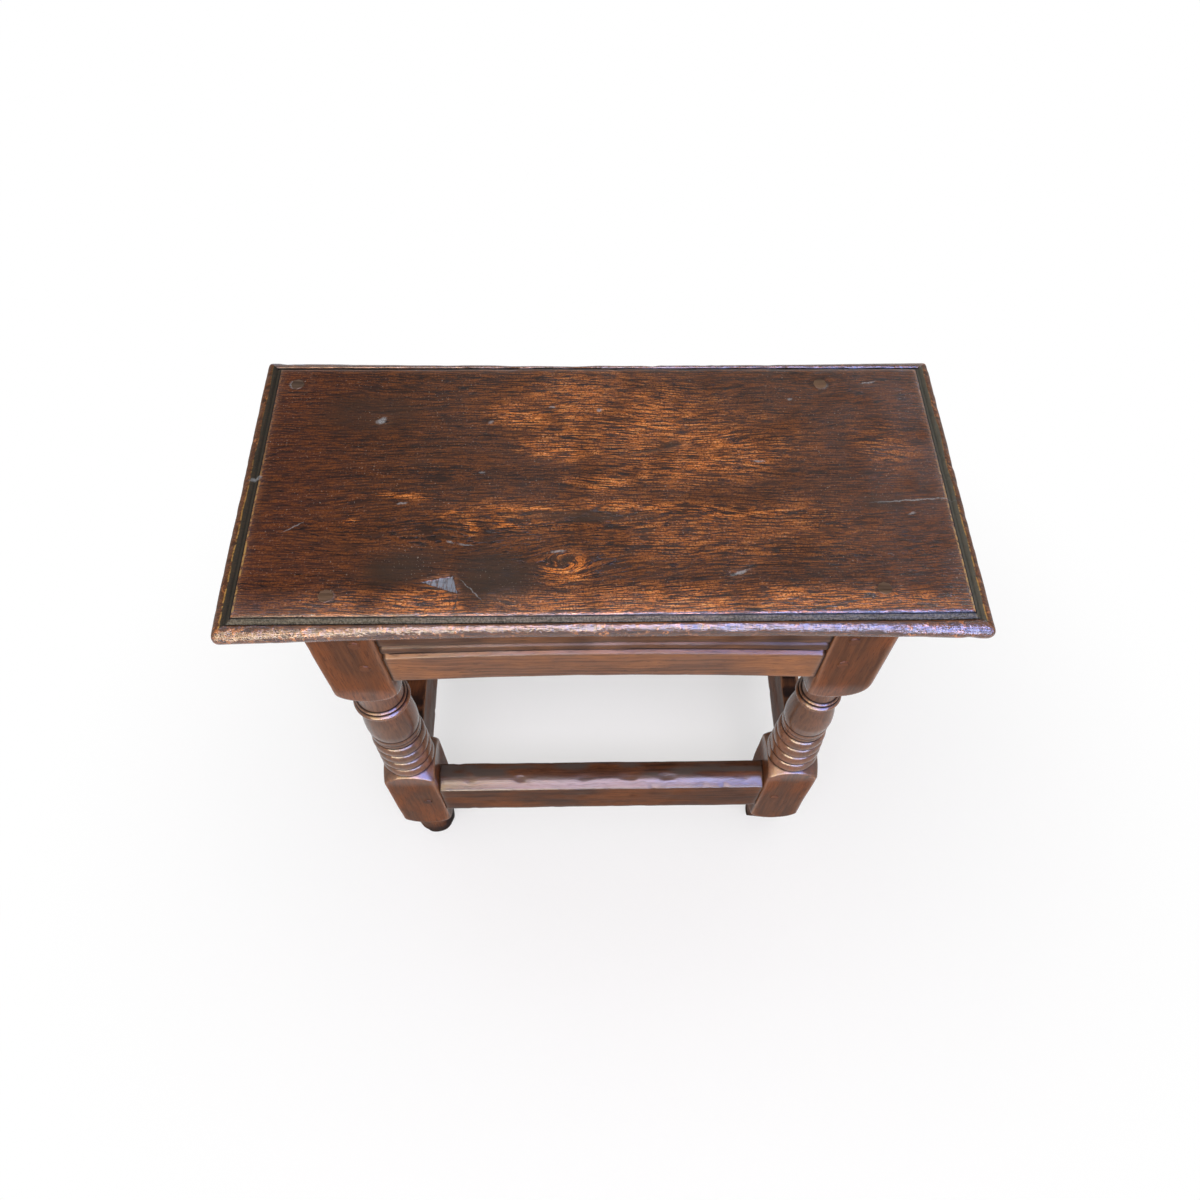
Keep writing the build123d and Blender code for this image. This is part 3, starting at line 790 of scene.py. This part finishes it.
def rail(side, seed):
    """One rail under the seat, worn and with painted shade on its upper moulding, in its place."""
    is_long = side in ("front", "back")
    length = 2 * (inner_x if is_long else inner_face(rail_bottom))
    shape = stick(rail_section, length)
    if is_long:
        for vertex in shape.verts:
            share = np.clip((arch_top - vertex.co.z / MM) / arch_run, 0, 1)
            arch = 1 - (2 * vertex.co.x / (length * MM)) ** 2
            vertex.co.z += share * arch * rail_arch_rise * MM
    else:
        follow_cant(shape, length)
    add_tenons(shape, length, *rail_tenon, rail_setback)
    face_place = (half_depth if is_long else half_length) - rail_setback
    mesh = settle(shape, f"rail_{side}", face_place, side)
    places = coordinates(mesh)
    # painted shade: the moulding under the seat's overhang is darkened from shade_foot up, in patches,
    # and stored with the grime
    painted_shade = np.clip((places[:, 2] / MM - shade_foot) / shade_run, 0, 1)
    painted_shade *= 0.55 + 0.25 * waves(places, 0.02, seed + 4)
    at_joint = np.clip(joint_dirt - inner_x + abs(places[:, 0]) / MM, 0, 1) * is_long
    keep_attribute(mesh, "grime_and_shade", np.maximum(painted_shade, at_joint))
    age(mesh, seed, 0.3, 0.3, 0.7, darkening=45)
    oak = lightened_rail_oak if is_long else cross_oak
    return finish_piece(f"moulded_rail_{side}", mesh, oak, f"rail_{side}")


for seed, side in enumerate(("front", "back", "left", "right")):
    rail(side, seed * 7 + 50)

# %% Stretchers
stretcher_bottom = 87.4
stretcher_top = 146.0
stretcher_setback = 0.5
stretcher_tenon = (92.4, 136.0)
flat_top = 0.985
side_top = 0.45
stretcher_thickness = {"front": 29.5, "back": 29.0, "left": 32.0, "right": 22.0}
heel_wear = (21.0, 8.5)
slight_wear = (7.0, 2.2)


def stretcher_section(thickness, wear_width, wear_drop):
    """Stretcher section from the worn upper edge down the face, under and up the back, in mm."""
    low, high = stretcher_bottom, stretcher_top
    worn = high - wear_drop
    return drawn_line(
        (wear_width, high),
        ((wear_width * 0.45, high), (0.4, worn), 16),
        ((0, worn - 0.4), (0, worn - 1.5), 3),
        ((0.0, low + 1.5), 4),
        ((0.0, low), (1.5, low), 3),
        ((thickness - 1, low), 4),
        ((thickness, low), (thickness, low + 1), 3),
        ((thickness, high - 1), 4),
        ((thickness, high), (thickness - 1, high), 3),
        ((wear_width, high), 2),
    )[:-1]


def stretcher(side, seed):
    """One stretcher near the floor, worn, in its place."""
    is_long = side in ("front", "back")
    length = 2 * (inner_x if is_long else inner_face(stretcher_bottom))
    wear = heel_wear if side == "front" else slight_wear
    shape = stick(stretcher_section(stretcher_thickness[side], *wear), length, 2.5)
    if not is_long:
        follow_cant(shape, length)
    add_tenons(shape, length, *stretcher_tenon, stretcher_setback)
    face_place = (half_depth if is_long else half_length) - stretcher_setback
    mesh = settle(shape, f"stretcher_{side}", face_place, side)
    age(mesh, seed, 0.5, 0.6, 0.6)
    places = coordinates(mesh)
    up = directions(mesh)[:, 2]
    ragged = 0.12 * waves(places, (0.03, 0.006, 0.006), seed + 3)
    keep_attribute(mesh, "wear", np.clip((flat_top - up + ragged / 3) * 25, 0, 1) * (up > side_top))
    keep_attribute(mesh, "grime_and_shade", np.clip((up - flat_top + ragged / 4) * 60, 0, 0.92))
    oak = stretcher_oak if is_long else cross_oak
    return finish_piece(f"worn_stretcher_{side}", mesh, oak, f"stretcher_{side}")


for seed, side in enumerate(("front", "back", "left", "right")):
    stretcher(side, seed * 7 + 80)

# %% [markdown]
# ## Pegs
# The joints hold without glue. Each tenon is drawn up by pegs of riven oak, whittled to eight sides
# and driven into round holes until they stand a little proud. The solids already have that shape, so
# each set stays as it is and only gets its finish.

# %% Pegs
pegs = {name: node for name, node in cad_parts.items() if "peg" in name or "plug" in name}
for name, node in pegs.items():
    node.data.materials.clear()
    node.data.materials.append(seat_peg_oak if "seat" in name else peg_oak)
print("peg nodes:", len(pegs))

# %% [markdown]
# ## The seat board
# The board is a raised field with a sloped side, a narrow quirk and a rounded thumb along all four
# edges, mitred at the corners. A grid whose lines crowd together over the moulding is bent down at
# its rim: a line's distance from the edge gives the depth of every point on it, so that the mitres
# fall where the same two lines cross. The rim is then drawn in under the thumb, and the bottom closed.

# %% Lines across the moulding
seat_length = (seat_high.x - seat_low.x) / MM
seat_top = seat_high.z / MM
nose = (0.0, -11.0)
heel = (3.5, -18.0)

edge_run = drawn_line(
    (20.6, 0.0),
    ((17.6, -0.1), (16.2, -1.1), 7),
    ((12.6, -3.8), 0.8),
    ((12.1, -5.0), (11.4, -4.8), 3),
    ((10.9, -3.5), (9.8, -3.5), 4),
    ((5.4, -3.3), (2.6, -6.1), 8),
    ((0.0, -8.6), nose, 7),
)
under_run = drawn_line(nose, ((0.0, -14.6), heel, 7))[1:]
inner_inset = 24.0
seat_pitch = 1.6


def seat_lines(length):
    """Where the grid lines lie along one side of the board, and how deep each is."""
    inner = length / 2 - edge_run[0][0]
    count = round(2 * inner / seat_pitch)
    rim = [(length / 2 - distance, drop) for distance, drop in edge_run[1:]]
    middle = [(place, 0.0) for place in np.linspace(-inner, inner, count + 1)]
    return [(-place, drop) for place, drop in rim[::-1]] + middle + rim


lines_x = seat_lines(seat_length)
lines_y = seat_lines(seat_depth)
print("grid lines:", len(lines_x), len(lines_y))

# %% Seat shape
corner_radius = 5.0


def past_corner(x, y):
    """How far a point lies beyond the start of the rounding, along and across the board."""
    return abs(x) - (seat_length / 2 - corner_radius), abs(y) - (seat_depth / 2 - corner_radius)


def round_corner(x, y):
    """Bring a point near a square corner of the board in to the rounded one."""
    over_x, over_y = past_corner(x, y)
    if over_x <= 0 or over_y <= 0:
        return x, y
    shrink = max(over_x, over_y) / np.hypot(over_x, over_y)
    x = np.copysign(seat_length / 2 - corner_radius + over_x * shrink, x)
    y = np.copysign(seat_depth / 2 - corner_radius + over_y * shrink, y)
    return x, y


def inward(place):
    """The direction into the board from a place on its rim."""
    over_x, over_y = past_corner(place.x / MM, place.y / MM)
    step = Vector((max(over_x, 0) * np.sign(place.x), max(over_y, 0) * np.sign(place.y)))
    return -step.normalized()


shape = bmesh.new()
bmesh.ops.create_grid(shape, x_segments=len(lines_x) - 1, y_segments=len(lines_y) - 1, size=1.0)
for vertex in shape.verts:
    x, drop_x = lines_x[round((vertex.co.x + 1) / 2 * (len(lines_x) - 1))]
    y, drop_y = lines_y[round((vertex.co.y + 1) / 2 * (len(lines_y) - 1))]
    from_edge = min(seat_length / 2 - abs(x), seat_depth / 2 - abs(y))
    nearest = drop_x if seat_length / 2 - abs(x) < seat_depth / 2 - abs(y) else drop_y
    x, y = round_corner(x, y)
    vertex.co = (x * MM, y * MM, (seat_top + (nearest if from_edge < edge_run[0][0] else 0)) * MM)

rim = [edge for edge in shape.edges if edge.is_boundary]
ways = {vertex.co.to_tuple(): inward(vertex.co) for edge in rim for vertex in edge.verts}
inset = 0.0
for distance, drop in under_run + [(inner_inset, heel[1])]:
    drawn = bmesh.ops.extrude_edge_only(shape, edges=rim)["geom"]
    rim = [part for part in drawn if isinstance(part, bmesh.types.BMEdge)]
    moved = {}
    for vertex in {vertex for edge in rim for vertex in edge.verts}:
        way = ways[vertex.co.to_tuple()]
        vertex.co.x += way.x * (distance - inset) * MM
        vertex.co.y += way.y * (distance - inset) * MM
        vertex.co.z = (seat_top + drop) * MM
        moved[vertex.co.to_tuple()] = way
    ways, inset = moved, distance
bmesh.ops.holes_fill(shape, edges=rim, sides=0)
bmesh.ops.recalc_face_normals(shape, faces=shape.faces)
seat_mesh = as_mesh(shape, "seat_board")
print("seat faces:", len(seat_mesh.polygons))

# %% [markdown]
# ### Wear of the seat
# Sitters have worn the long edges hollow, and rubbed the rim of the field round. The board has a
# shallow dish over each peg, a torn triangular chip, and some dents. Each mark is a place along a
# line with a width and a depth. The thumb has taken many small knocks, so it is rough all along.

# %% Wear and marks
front_wear = 5.5
back_wear = 4.5
wear_reach = 11
knock_size = (0.011, 0.005, 0.005)
dish_radius = 9
dish_depth = 0.5
peg_places = ((-201.1, -104.6), (202.9, -101.3), (182.3, 104.0), (-249.7, 103.9))
dents = (  # start, end, half width, depth, in mm
    ((-178, 66), (-176, 61), 3.2, 0.8),
    ((94, -88), (103, -85), 1.6, 0.8),
    ((213, 104), (226, 105), 1.6, 0.6),
    ((20, 29), (40, 33), 1.6, 0.7),
    ((46, 35), (68, 41), 3.0, 1.1),
    ((-30.7, -76), (-30, -75), 5.0, 0.7),
)
chip = ((-135.0, -93.5), (-111.5, -87.5), (-107.0, -103.5))


def from_line(x, y, start, end):
    """Distance of each point from a line between two points."""
    run = np.array(end, float) - start
    share = np.clip(((x - start[0]) * run[0] + (y - start[1]) * run[1]) / (run @ run), 0, 1)
    return np.hypot(x - start[0] - share * run[0], y - start[1] - share * run[1])


def inside_chip(x, y):
    """How much of each of the chip's three corners a point has; all are above 0 inside it."""
    (ax, ay), (bx, by), (cx, cy) = chip
    area = (bx - ax) * (cy - ay) - (cx - ax) * (by - ay)
    share_b = ((x - ax) * (cy - ay) - (cx - ax) * (y - ay)) / area
    share_c = ((bx - ax) * (y - ay) - (x - ax) * (by - ay)) / area
    return 1 - share_b - share_c, share_b, share_c


places = coordinates(seat_mesh)
x, y, z = places.T / MM
on_top = z > seat_top - 0.01
edge_distance = np.minimum(seat_length / 2 - abs(x), seat_depth / 2 - abs(y))
hollow = np.where(y < 0, front_wear, back_wear) * (1 - (2 * x / seat_length) ** 2)
near_long_edge = np.clip(1 - (seat_depth / 2 - abs(y)) / wear_reach, 0, 1)
places[:, 1] -= np.sign(y) * hollow * near_long_edge * MM
sink = np.zeros(len(x))
for place in peg_places:
    from_peg = np.hypot(x - place[0], y - place[1])
    sink += np.clip(1.3 - from_peg / dish_radius, 0, dish_depth) * on_top
for start, end, half_width, depth in dents:
    sink += depth * np.exp(-(from_line(x, y, start, end) / half_width) ** 2) * on_top
shares = inside_chip(x, y)
sink += np.where(np.minimum.reduce(shares) > 0, 0.5 + 1.0 * (1 - shares[0]), 0) * on_top
knocks = np.clip(waves(places, knock_size, 60) - 0.1, 0, 1)
place_vertices(seat_mesh, places - np.outer(sink * MM, (0, 0, 1)))
press_in(seat_mesh, knocks * np.clip((10 - edge_distance) / 3, 0, 1))
age(seat_mesh, 7, 0.35, 0.3, 0.9)

# %% [markdown]
# ### Finish of the seat
# The field shows the flat-sawn figure of one wide board, whose lines sweep round two knots. The
# figure is one slowly changing value over the board, whose level lines are the grain. All the streaks
# are then drawn along it. The middle of the board is rubbed to orange flecks between dark pores, and
# its ends keep a purple-brown patina; the rubbed band along the front edge is made brighter still, as
# a painted sheen. Knots, stains, scratches and rubbed places are soft-edged ovals, each with a place,
# a reach and a turn, and one helper lays a whole list of them. The dark rings where the dirt keeps to
# the pegs are among them.

# %% Places on the seat
spot_depth = 13.5
knot_core = 0.6
knots = (  # place x and y, reach along and across, push; below 0 draws the grain in
    (-30.7, -75.5, 22, 13, 9), (-112, -52, 62, 30, 16), (15, -32, 95, 14, 5), (112, -14, 70, 17, -11),
)
rubbed_and_sheen_spots = (  # place x and y, reach along and across, turn in degrees, strength
    (15, 66, 115, 52, -12, 0.75), (-62, 66, 34, 18, -20, 1), (-34, 32, 42, 13, -12, 1),
    (-2, -1, 32, 12, 0, 1), (-152, -14, 22, 4, -5, 0.8), (-72, -39, 15, 8, 0, 1),
    (-100, -43, 6, 10, 10, 1), (-116, -30, 10, 3, 30, 0.9), (-52, -28, 50, 3, -3, 1),
    (-191, -39, 7, 4, 0, 0.7), (75, 30, 85, 40, 10, 0.8), (60, -28, 110, 9, -3, 0.9),
    # the spots along the front edge, at y -112, are rubbed wood and also a painted sheen
    (70, -45, 130, 40, 0, 0.35), (-110, -112, 115, 13, 0, 0.9), (60, -112, 170, 16, 0, 1),
    (190, -112, 80, 12, 0, 0.8), (-70, -32, 55, 16, 0, 0.4), (-30, -84, 22, 16, 0, 1),
    (-121, -106, 17, 10, 0, 1), (225, 40, 28, 30, 0, 0.35),
)
dark_spots = (
    (-148, -80, 34, 17, 15, 1), (-80, -91, 36, 26, -10, 1), (-190, 72, 45, 22, 0, 0.6),
    (-10, -34, 66, 7, 0, 0.8), (-30.7, -75.5, 5.5, 5, 0, 1), (56, 38, 12, 3.5, 15, 1),
    (33, 30, 15, 1.6, 8, 1), (-107.9, -112.4, 10, 0.7, 81, 1), (-201.1, -104.6, 7, 6.6, 0, 0.9),
    (202.9, -101.3, 7.4, 7, 0, 0.9), (182.3, 104, 7, 6.6, 0, 0.9), (-249.7, 103.9, 7, 6.6, 0, 0.9),
    (141, -33, 14, 2, 18, 0.8), (215, -22, 22, 9, 0, 0.6),
)
pale_spots = (
    (-177.5, 63.5, 4.6, 3, 35, 1), (-153.7, -21.1, 4, 1.2, 10, 0.7), (-94.5, 9.1, 3, 1, 0, 0.5),
    (98.1, -86.7, 8, 1.4, 20, 0.8), (-40.8, 77.4, 2.6, 1.3, 0, 0.8), (-2.6, 74, 2.2, 1.7, 0, 0.8),
    (-89.6, 61.2, 2.6, 2, 30, 0.5), (122.6, 19.3, 5, 1.3, 0, 0.6), (154.9, 85.9, 2.4, 1.2, 0, 0.6),
    (222.6, 105.1, 7, 1, 10, 0.8), (-115.1, -58, 3, 1.2, -20, 0.6), (-104, -60.5, 6, 0.9, -8, 0.5),
    (234.8, -33, 3.5, 1.2, 20, 0.6), (-35, -67, 5.5, 1.3, 5, 0.8), (-232.5, -43.4, 9, 0.6, 34, 0.6),
    (240, -20, 34, 0.7, 4, 0.8), (-97.5, -100.5, 12, 0.5, -48, 0.6), (-269.4, 6, 5.5, 2.2, 0, 0.9),
    (-251.6, 103.4, 5, 4.6, 0, 0.8), (-199.6, -104.8, 5, 4.6, 0, 0.6), (183.4, 102.4, 5, 4.6, 0, 0.6),
)


def laid(tree, place, spots, inner=0.3, outer=1.3):
    """One value that is high inside any of the soft-edged ovals, on the upper side of the board."""
    total = 0.0
    for x, y, along, across, turned_by, strength in spots:
        oval = {"Vector": place, "Location": (x * MM, y * MM, seat_top * MM)}
        oval["Rotation"] = (0, 0, radians(turned_by))
        oval["Scale"] = (along * MM, across * MM, spot_depth * MM)
        offset = add(tree, "Mapping", oval, vector_type="TEXTURE")
        distance = add(tree, "VectorMath", {0: offset}, output="Value", operation="LENGTH")
        spot = mask(tree, (distance, inner, outer, strength, 0.0))
        total = add(tree, "Math", {0: total, 1: spot}, operation="MAXIMUM")
    return total


def figure(tree, place):
    """The place with its second part pushed aside round each knot, so that the grain flows past it."""
    parts = add(tree, "SeparateXYZ", {0: place}).node.outputs
    value = parts[1]
    for x, y, along, across, push in knots:
        moved = add(tree, "VectorMath", {0: place, 1: (x * MM, y * MM, 0)}, operation="SUBTRACT")
        scale = (1 / (along * MM), 1 / (across * MM), 0)
        offset = add(tree, "VectorMath", {0: moved, 1: scale}, operation="MULTIPLY")
        squared = add(tree, "VectorMath", {0: offset, 1: offset}, output="Value", operation="DOT_PRODUCT")
        squared = add(tree, "Math", {0: squared, 1: knot_core}, operation="ADD")
        aside = add(tree, "SeparateXYZ", {0: offset}).node.outputs[1]
        away = add(tree, "Math", {0: aside, 1: squared}, operation="DIVIDE")
        value = weighted(tree, value, (away, -push * MM))
    value = weighted(tree, value, (streaks(tree, place, (150, 60), 4.0, detail=1.0), 22 * MM))
    return add(tree, "CombineXYZ", {0: parts[0], 1: value, 2: parts[2]})


def chip_share(tree, place):
    """Above 0 inside the chip: the least of the three straight falls towards its sides, in mm."""
    least = 100.0
    for number in range(3):
        start, end, third = (Vector(chip[(number + step) % 3]) for step in range(3))
        across = (end - start).orthogonal().normalized()
        across *= 1 if (third - start).dot(across) > 0 else -1
        dot = {0: place, 1: (*across, 0)}
        dot = add(tree, "VectorMath", dot, output="Value", operation="DOT_PRODUCT")
        fall = weighted(tree, -start.dot(across), (dot, 1 / MM))
        least = add(tree, "Math", {0: least, 1: fall}, operation="MINIMUM")
    return mask(tree, (least, 0.0, 0.8))


# %% Patterns of the seat
seat_oak, tree = new_material("aged waxed oak, seat board")
place = add(tree, "TexCoord", output="Object")
grain = figure(tree, place)
ragged = swayed(tree, place, 3, 3.846)
bands = streaks(tree, grain, (240.0, 7.0), 1.0, detail=4.0, roughness=0.6)
lines = streaks(tree, grain, (170.0, 2.0), 6.0, detail=3.0)
pores = streaks(tree, grain, (11.0, 0.85), 2.0, detail=2.0, roughness=0.6)
flecks = streaks(tree, grain, (20.0, 1.2), 3.0, detail=4.0, roughness=0.7)
noises = []
for size, detail in ((38.46, 4.0), (1.613, 2.0), (4.167, 3.0)):
    noise = {"Vector": place, "Scale": 1 / (size * MM), "Detail": detail, "Roughness": 0.6}
    noises.append(add(tree, "TexNoise", noise))
blotch, speck, knobs = noises
wear, grime_and_shade = kept(tree, "wear", "grime_and_shade")

# %% [markdown]
# The moulding is known by how far a point lies from the nearest edge of the board, in millimetres. The
# rounded thumb is the outer part, the quirk is the groove behind it, and beyond that the side of the
# field slopes up to its rim. All of this is kept off the underside, which is bare oak. The layers of
# colour then go on in the order in which they came in life: wood, patina, rubbing, stains, wax, dirt.
# Painted light goes on among them: golden highlights along the arrises at the ends, shade lines in
# the quirk and under the field's rim, pale glints, and a sheen along the front edge.

# %% Distances from the edges
parts = add(tree, "SeparateXYZ", {0: place}).node.outputs
margins = []
for part, half in ((parts[0], seat_length / 2), (parts[1], seat_depth / 2)):
    margins.append(weighted(tree, half, (add(tree, "Math", {0: part}, operation="ABSOLUTE"), -1 / MM)))
nearest = add(tree, "Math", {0: margins[0], 1: margins[1]}, operation="MINIMUM")
at_end = add(tree, "Math", {0: margins[0], 1: margins[1]}, operation="LESS_THAN")
upper = mask(tree, (parts[2], (seat_top - 16.2) * MM, (seat_top - 16.0) * MM))
far_below = mask(tree, (upper, 0.0, 1.0, 40.0, 0.0))
nearest = add(tree, "Math", {0: nearest, 1: far_below}, operation="MAXIMUM")
thumb = mask(tree, (nearest, 9.5, 11.0, 1.0, 0.0))

# %% Rubbed, shaded and chipped wood
# rubbed wood; the spots along the front edge also paint a sheen there
rubbed = mask(tree, laid(tree, place, rubbed_and_sheen_spots), (blotch, 0.34, 0.56, 0.3, 1.0))
some_rub_and_sheen = add(tree, "Math", {0: rubbed, 1: 0.2}, operation="ADD")
shade = mask(tree, laid(tree, ragged, dark_spots), (blotch, 0.35, 0.65, 1.0, 0.6))
lit = add(tree, "Math", {0: 1.0, 1: shade}, operation="SUBTRACT", use_clamp=True)
pore_mark = mask(tree, (pores, 0.38, 0.43, 0.9, 0.0), (lit, 0.0, 1.0, 0.4, 1.0))
thumb_flecks = mask(tree, thumb, (knobs, 0.55, 0.63), (blotch, 0.42, 0.6, 0.0, 0.8))
bared = {0: mask(tree, wear, (flecks, 0.4, 0.6, 0.1, 0.9)), 1: thumb_flecks}
bared = add(tree, "Math", bared, operation="MAXIMUM")
chipped = mask(tree, chip_share(tree, ragged), upper)
hatch = add(tree, "CombineXYZ", {0: parts[1], 1: parts[0]})
hatch = streaks(tree, hatch, (9.0, 1.3), 7.0, detail=2.0)

# %% Crust, painted highlights and painted shade lines of the moulding
uneven = weighted(tree, nearest, (at_end, 3.2), (blotch, -4.0))
crust = mask(tree, (uneven, 8.6, 9.6), (nearest, 15.6, 16.4, 1.0, 0.0))
crust = {0: crust, 1: mask(tree, grime_and_shade, (nearest, 17, 19, 1.0, 0.0))}
crust = add(tree, "Math", crust, operation="MAXIMUM")
end_crust = coats(tree, "#36352c", ("#57574c", (parts[0], -0.1, 0.1)))
crust_tone = coats(tree, "#403f36", ("#625f54", (speck, 0.4, 0.6)), (end_crust, at_end))
thumb_crest_highlight = mask(tree, (uneven, 8.0, 8.8), (uneven, 9.0, 9.8, 1.0, 0.0))
field_arris_highlight = mask(tree, (nearest, 15.9, 16.4), (nearest, 17.2, 18.4, 1.0, 0.0))
arris_highlight = add(tree, "Math", {0: thumb_crest_highlight, 1: field_arris_highlight}, operation="MAXIMUM")
rim_shade_line = mask(tree, (nearest, 14.6, 15.2), (nearest, 15.6, 16.2, 1.0, 0.0))
quirk_shade_line = mask(tree, (nearest, 10.7, 11.2), (nearest, 11.6, 12.1, 1.0, 0.0))
quirk_shade_line = mask(tree, quirk_shade_line, (at_end, 0.0, 1.0, 1.0, 0.25))
painted_shade_lines = add(tree, "Math", {0: rim_shade_line, 1: quirk_shade_line}, operation="MAXIMUM")

# %% Colours of the seat, from the wood up
colour = coats(
    tree, "#22150e",
    ("#4a2d1c", (bands, 0.3, 0.7)),  # bands of early and late wood
    ("#40241d", (margins[0], 30.0, 130.0, 0.7, 0.0), (blotch, 0.3, 0.6, 0.5, 1.0)),  # patina of the ends
    ("#1c110c", (lines, 0.37, 0.42, 1.0, 0.0), (blotch, 0.3, 0.6, 0.3, 0.9), lit),  # long figure lines
    ("#ca7029", some_rub_and_sheen, (flecks, 0.47, 0.53), (speck, 0.40, 0.50, 0.3, 1.0), lit),  # orange flecks of rubbed wood, and a painted sheen along the front edge
    ("#eba45c", rubbed, (flecks, 0.55, 0.62), (speck, 0.42, 0.52), lit),  # the brightest of them
    ("#382a1f", shade, 0.85),  # stains
    ("#120b08", pore_mark),  # pores
    ("#b9ab9c", (speck, 0.66, 0.70, 0.0, 0.4), (blotch, 0.4, 0.6, 0.2, 1.0)),  # painted glints: tiny pale specks
    (coats(tree, "#3d2822", ("#4a2c18", at_end)), thumb, 0.85),  # the thumb's brown wax
    ("#b4703c", bared),  # wood rubbed bare
    (crust_tone, crust, 0.92),  # crust of wax and dirt
    ("#b58a45", arris_highlight, at_end, (knobs, 0.42, 0.56), (parts[1], 0.06, -0.06, 0.15, 0.85)),  # painted golden highlights along the arrises at the ends, stronger towards the front
    ("#0c0a08", painted_shade_lines),  # painted shade in the quirk and under the rim of the field
    ("#9b9d9e", laid(tree, ragged, pale_spots), (speck, 0.35, 0.55, 0.35, 1.0)),  # scuffs
    ("#868b96", chipped, (hatch, 0.40, 0.55, 0.3, 1.0)),  # torn wood of the chip
)

# %% Relief, roughness and wax of the seat
relief = ((pore_mark, -1.2), (bands, 0.4), (speck, 1.0), (mask(tree, knobs, thumb), 3.0), (chipped, -2.0))
height = weighted(tree, 0.0, *relief)
rough = weighted(tree, mask(tree, (blotch, 0.3, 0.7, 0.45, 0.6)), (crust, 0.3))
at_front = mask(tree, (parts[1], -0.095, -0.117))
at_right = mask(tree, (parts[0], 0.15, 0.27, 0.0, 0.25))
handled = mask(tree, (parts[0], -0.24, -0.03, 0.03, 0.3))
handled = weighted(tree, handled, (at_right, 1.0), (at_front, 0.5))
waxed = weighted(tree, mask(tree, handled, (blotch, 0.3, 0.6, 0.6, 1.2)), (wear, 0.9))
waxed = {0: waxed, 1: mask(tree, thumb, (at_end, 0.0, 1.0, 0.95, 0.0))}
waxed = add(tree, "Math", waxed, operation="ADD", use_clamp=True)
dull_end = mask(tree, (mask(tree, thumb, at_end), 0.0, 1.0, 1.0, 0.3))
clean = {0: 1.0, 1: mask(tree, crust, 0.9)}
clean = add(tree, "Math", clean, operation="SUBTRACT", use_clamp=True)
oak_surface(tree, colour, height, rough, mask(tree, waxed, dull_end, upper, clean), 0.24)
finish_piece("moulded_seat_board", seat_mesh, seat_oak, "seat_board")
